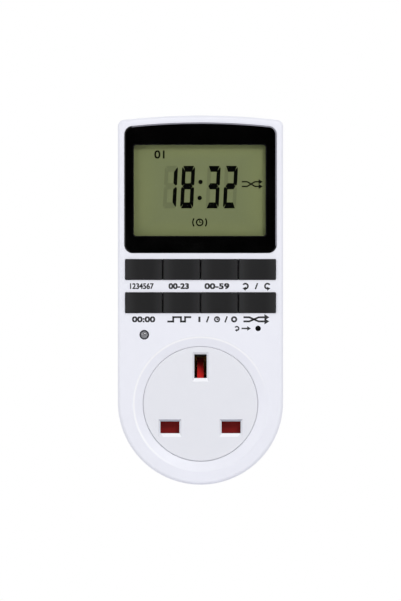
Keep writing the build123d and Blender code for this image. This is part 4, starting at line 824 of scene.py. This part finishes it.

# Return spring of the shutter, which shortens as the shutter goes down: a coil with a closed turn at each end,
# built here at one length
coil = {"radius": 1.6, "wire": 0.23, "wireSides": 8, "closedRise": 0.48, "openTurns": 5, "stepsPerTurn": 14,
        "travel": 7.4}
coilLow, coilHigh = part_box("shutter_spring")
coilLong, coilMiddle = coilHigh.z - coilLow.z, (0, (coilLow.y + coilHigh.y) / 2, 0)
openRise = (coilLong / mm - 2 * coil["wire"] - 2 * coil["closedRise"]) / coil["openTurns"]
bm = bmesh.new()
ring = addRing(bm, coil["wire"], (coil["radius"] * mm, coilMiddle[1], coilLow.z + coil["wire"] * mm),
               coil["wireSides"])
last = list(ring) + list(edgesOf(ring))
for turns, rise in ((1, coil["closedRise"]), (coil["openTurns"], openRise), (1, coil["closedRise"])):
    last = bmesh.ops.spin(bm, geom=last, cent=coilMiddle, axis=(0, 0, 1), angle=2 * pi * turns,
                          steps=turns * coil["stepsPerTurn"],
                          dvec=(0, 0, rise / coil["stepsPerTurn"] * mm))["geom_last"]
fillOpenings(bm, coil["wireSides"])
springCoil = newPiece("return_coil", bm, zincSteel)
springCoil.data.shade_smooth()
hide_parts("shutter_spring")
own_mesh(springCoil)

# Snap disc of the reset switch: a thin steel dome that gives way under the button, built here in its rest
# shape
disc = {"thick": 0.08, "travel": 0.25}
discLow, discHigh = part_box("reset_snap_dome")
discTop, discWide = discLow.y / mm, (discHigh.x - discLow.x) / 2 / mm
discHigher = (discHigh.y - discLow.y) / mm
upperSide = [(discWide * sin(radians(angle)), discTop + discHigher * (1 - cos(radians(angle))))
             for angle in range(0, 91, 15)]
lowerSide = [(max(radius - disc["thick"], 0), min(y + disc["thick"], discHigh.y / mm))
             for radius, y in reversed(upperSide)]
bm = bmesh.new()
spinProfile(bm, upperSide + lowerSide, middleOf("reset_snap_dome"), 32)
snapDisc = newPiece("snap_disc", bm, nickelSteel)
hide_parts("reset_snap_dome")
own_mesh(snapDisc)


def addBlock(bm, middle, size):
    bmesh.ops.create_cube(bm, size=1, matrix=Matrix.Translation(middle) @ Matrix.Diagonal((*size, 1)))


def roundCorners(bm, deep, radius, segments):
    # Rounds the edges that run from front to back over at least some depth
    edges = [edge for edge in bm.edges if abs(edge.verts[0].co.y - edge.verts[1].co.y) > deep * mm]
    bmesh.ops.bevel(bm, geom=edges, affect="EDGES", offset=radius * mm, segments=segments, profile=0.5,
                    material=-1)


# Key mat: a silicone sheet, with a dome under each key that gives way under it, built here in its rest shape
mat = {"sheet": 1.0, "corner": 1.5, "dome": (7.0, 5.4), "foot": 0.1, "soft": 0.35, "travel": 0.8,
       "lifts": ((0.25, 0.0), (1.15, 1.0), (0.50, 0.0))}  # rise of each step, and how far its sides draw in
matLow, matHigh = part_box("keypad_mat")
sheetTop = matHigh.y - mat["sheet"] * mm
bm = bmesh.new()
addBlock(bm, ((matLow.x + matHigh.x) / 2, (matHigh.y + sheetTop) / 2, (matLow.z + matHigh.z) / 2),
         (matHigh.x - matLow.x, mat["sheet"] * mm, matHigh.z - matLow.z))
roundCorners(bm, 0.5, mat["corner"], 4)
matSheet = newPiece("mat_sheet", bm, siliconeRubber)
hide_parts("keypad_mat")
for name in keyNames:
    keyLow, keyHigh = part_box(name)
    middle = Vector(((keyLow.x + keyHigh.x) / 2, sheetTop, (keyLow.z + keyHigh.z) / 2))
    wide, tall = mat["dome"]
    bm = bmesh.new()
    addBlock(bm, middle - Vector((0, mat["foot"] / 2 * mm, 0)), metres(wide, mat["foot"], tall))
    for lift, pull in mat["lifts"]:
        front = min(bm.faces, key=lambda face: face.calc_center_median().y)
        verts = pullFaces(bm, [front], lift)
        bmesh.ops.delete(bm, geom=[front], context="FACES")
        shrink = ((wide - 2 * pull) / wide, 1, (tall - 2 * pull) / tall)
        bmesh.ops.scale(bm, verts=verts, vec=shrink, space=Matrix.Translation(-middle))
        wide, tall = wide - 2 * pull, tall - 2 * pull
    roundCorners(bm, 0.2, mat["soft"], 3)
    dome = newPiece("mat_dome_" + name[4:], bm, siliconeRubber)
    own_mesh(dome)
print("spring, snap disc and key mat made")
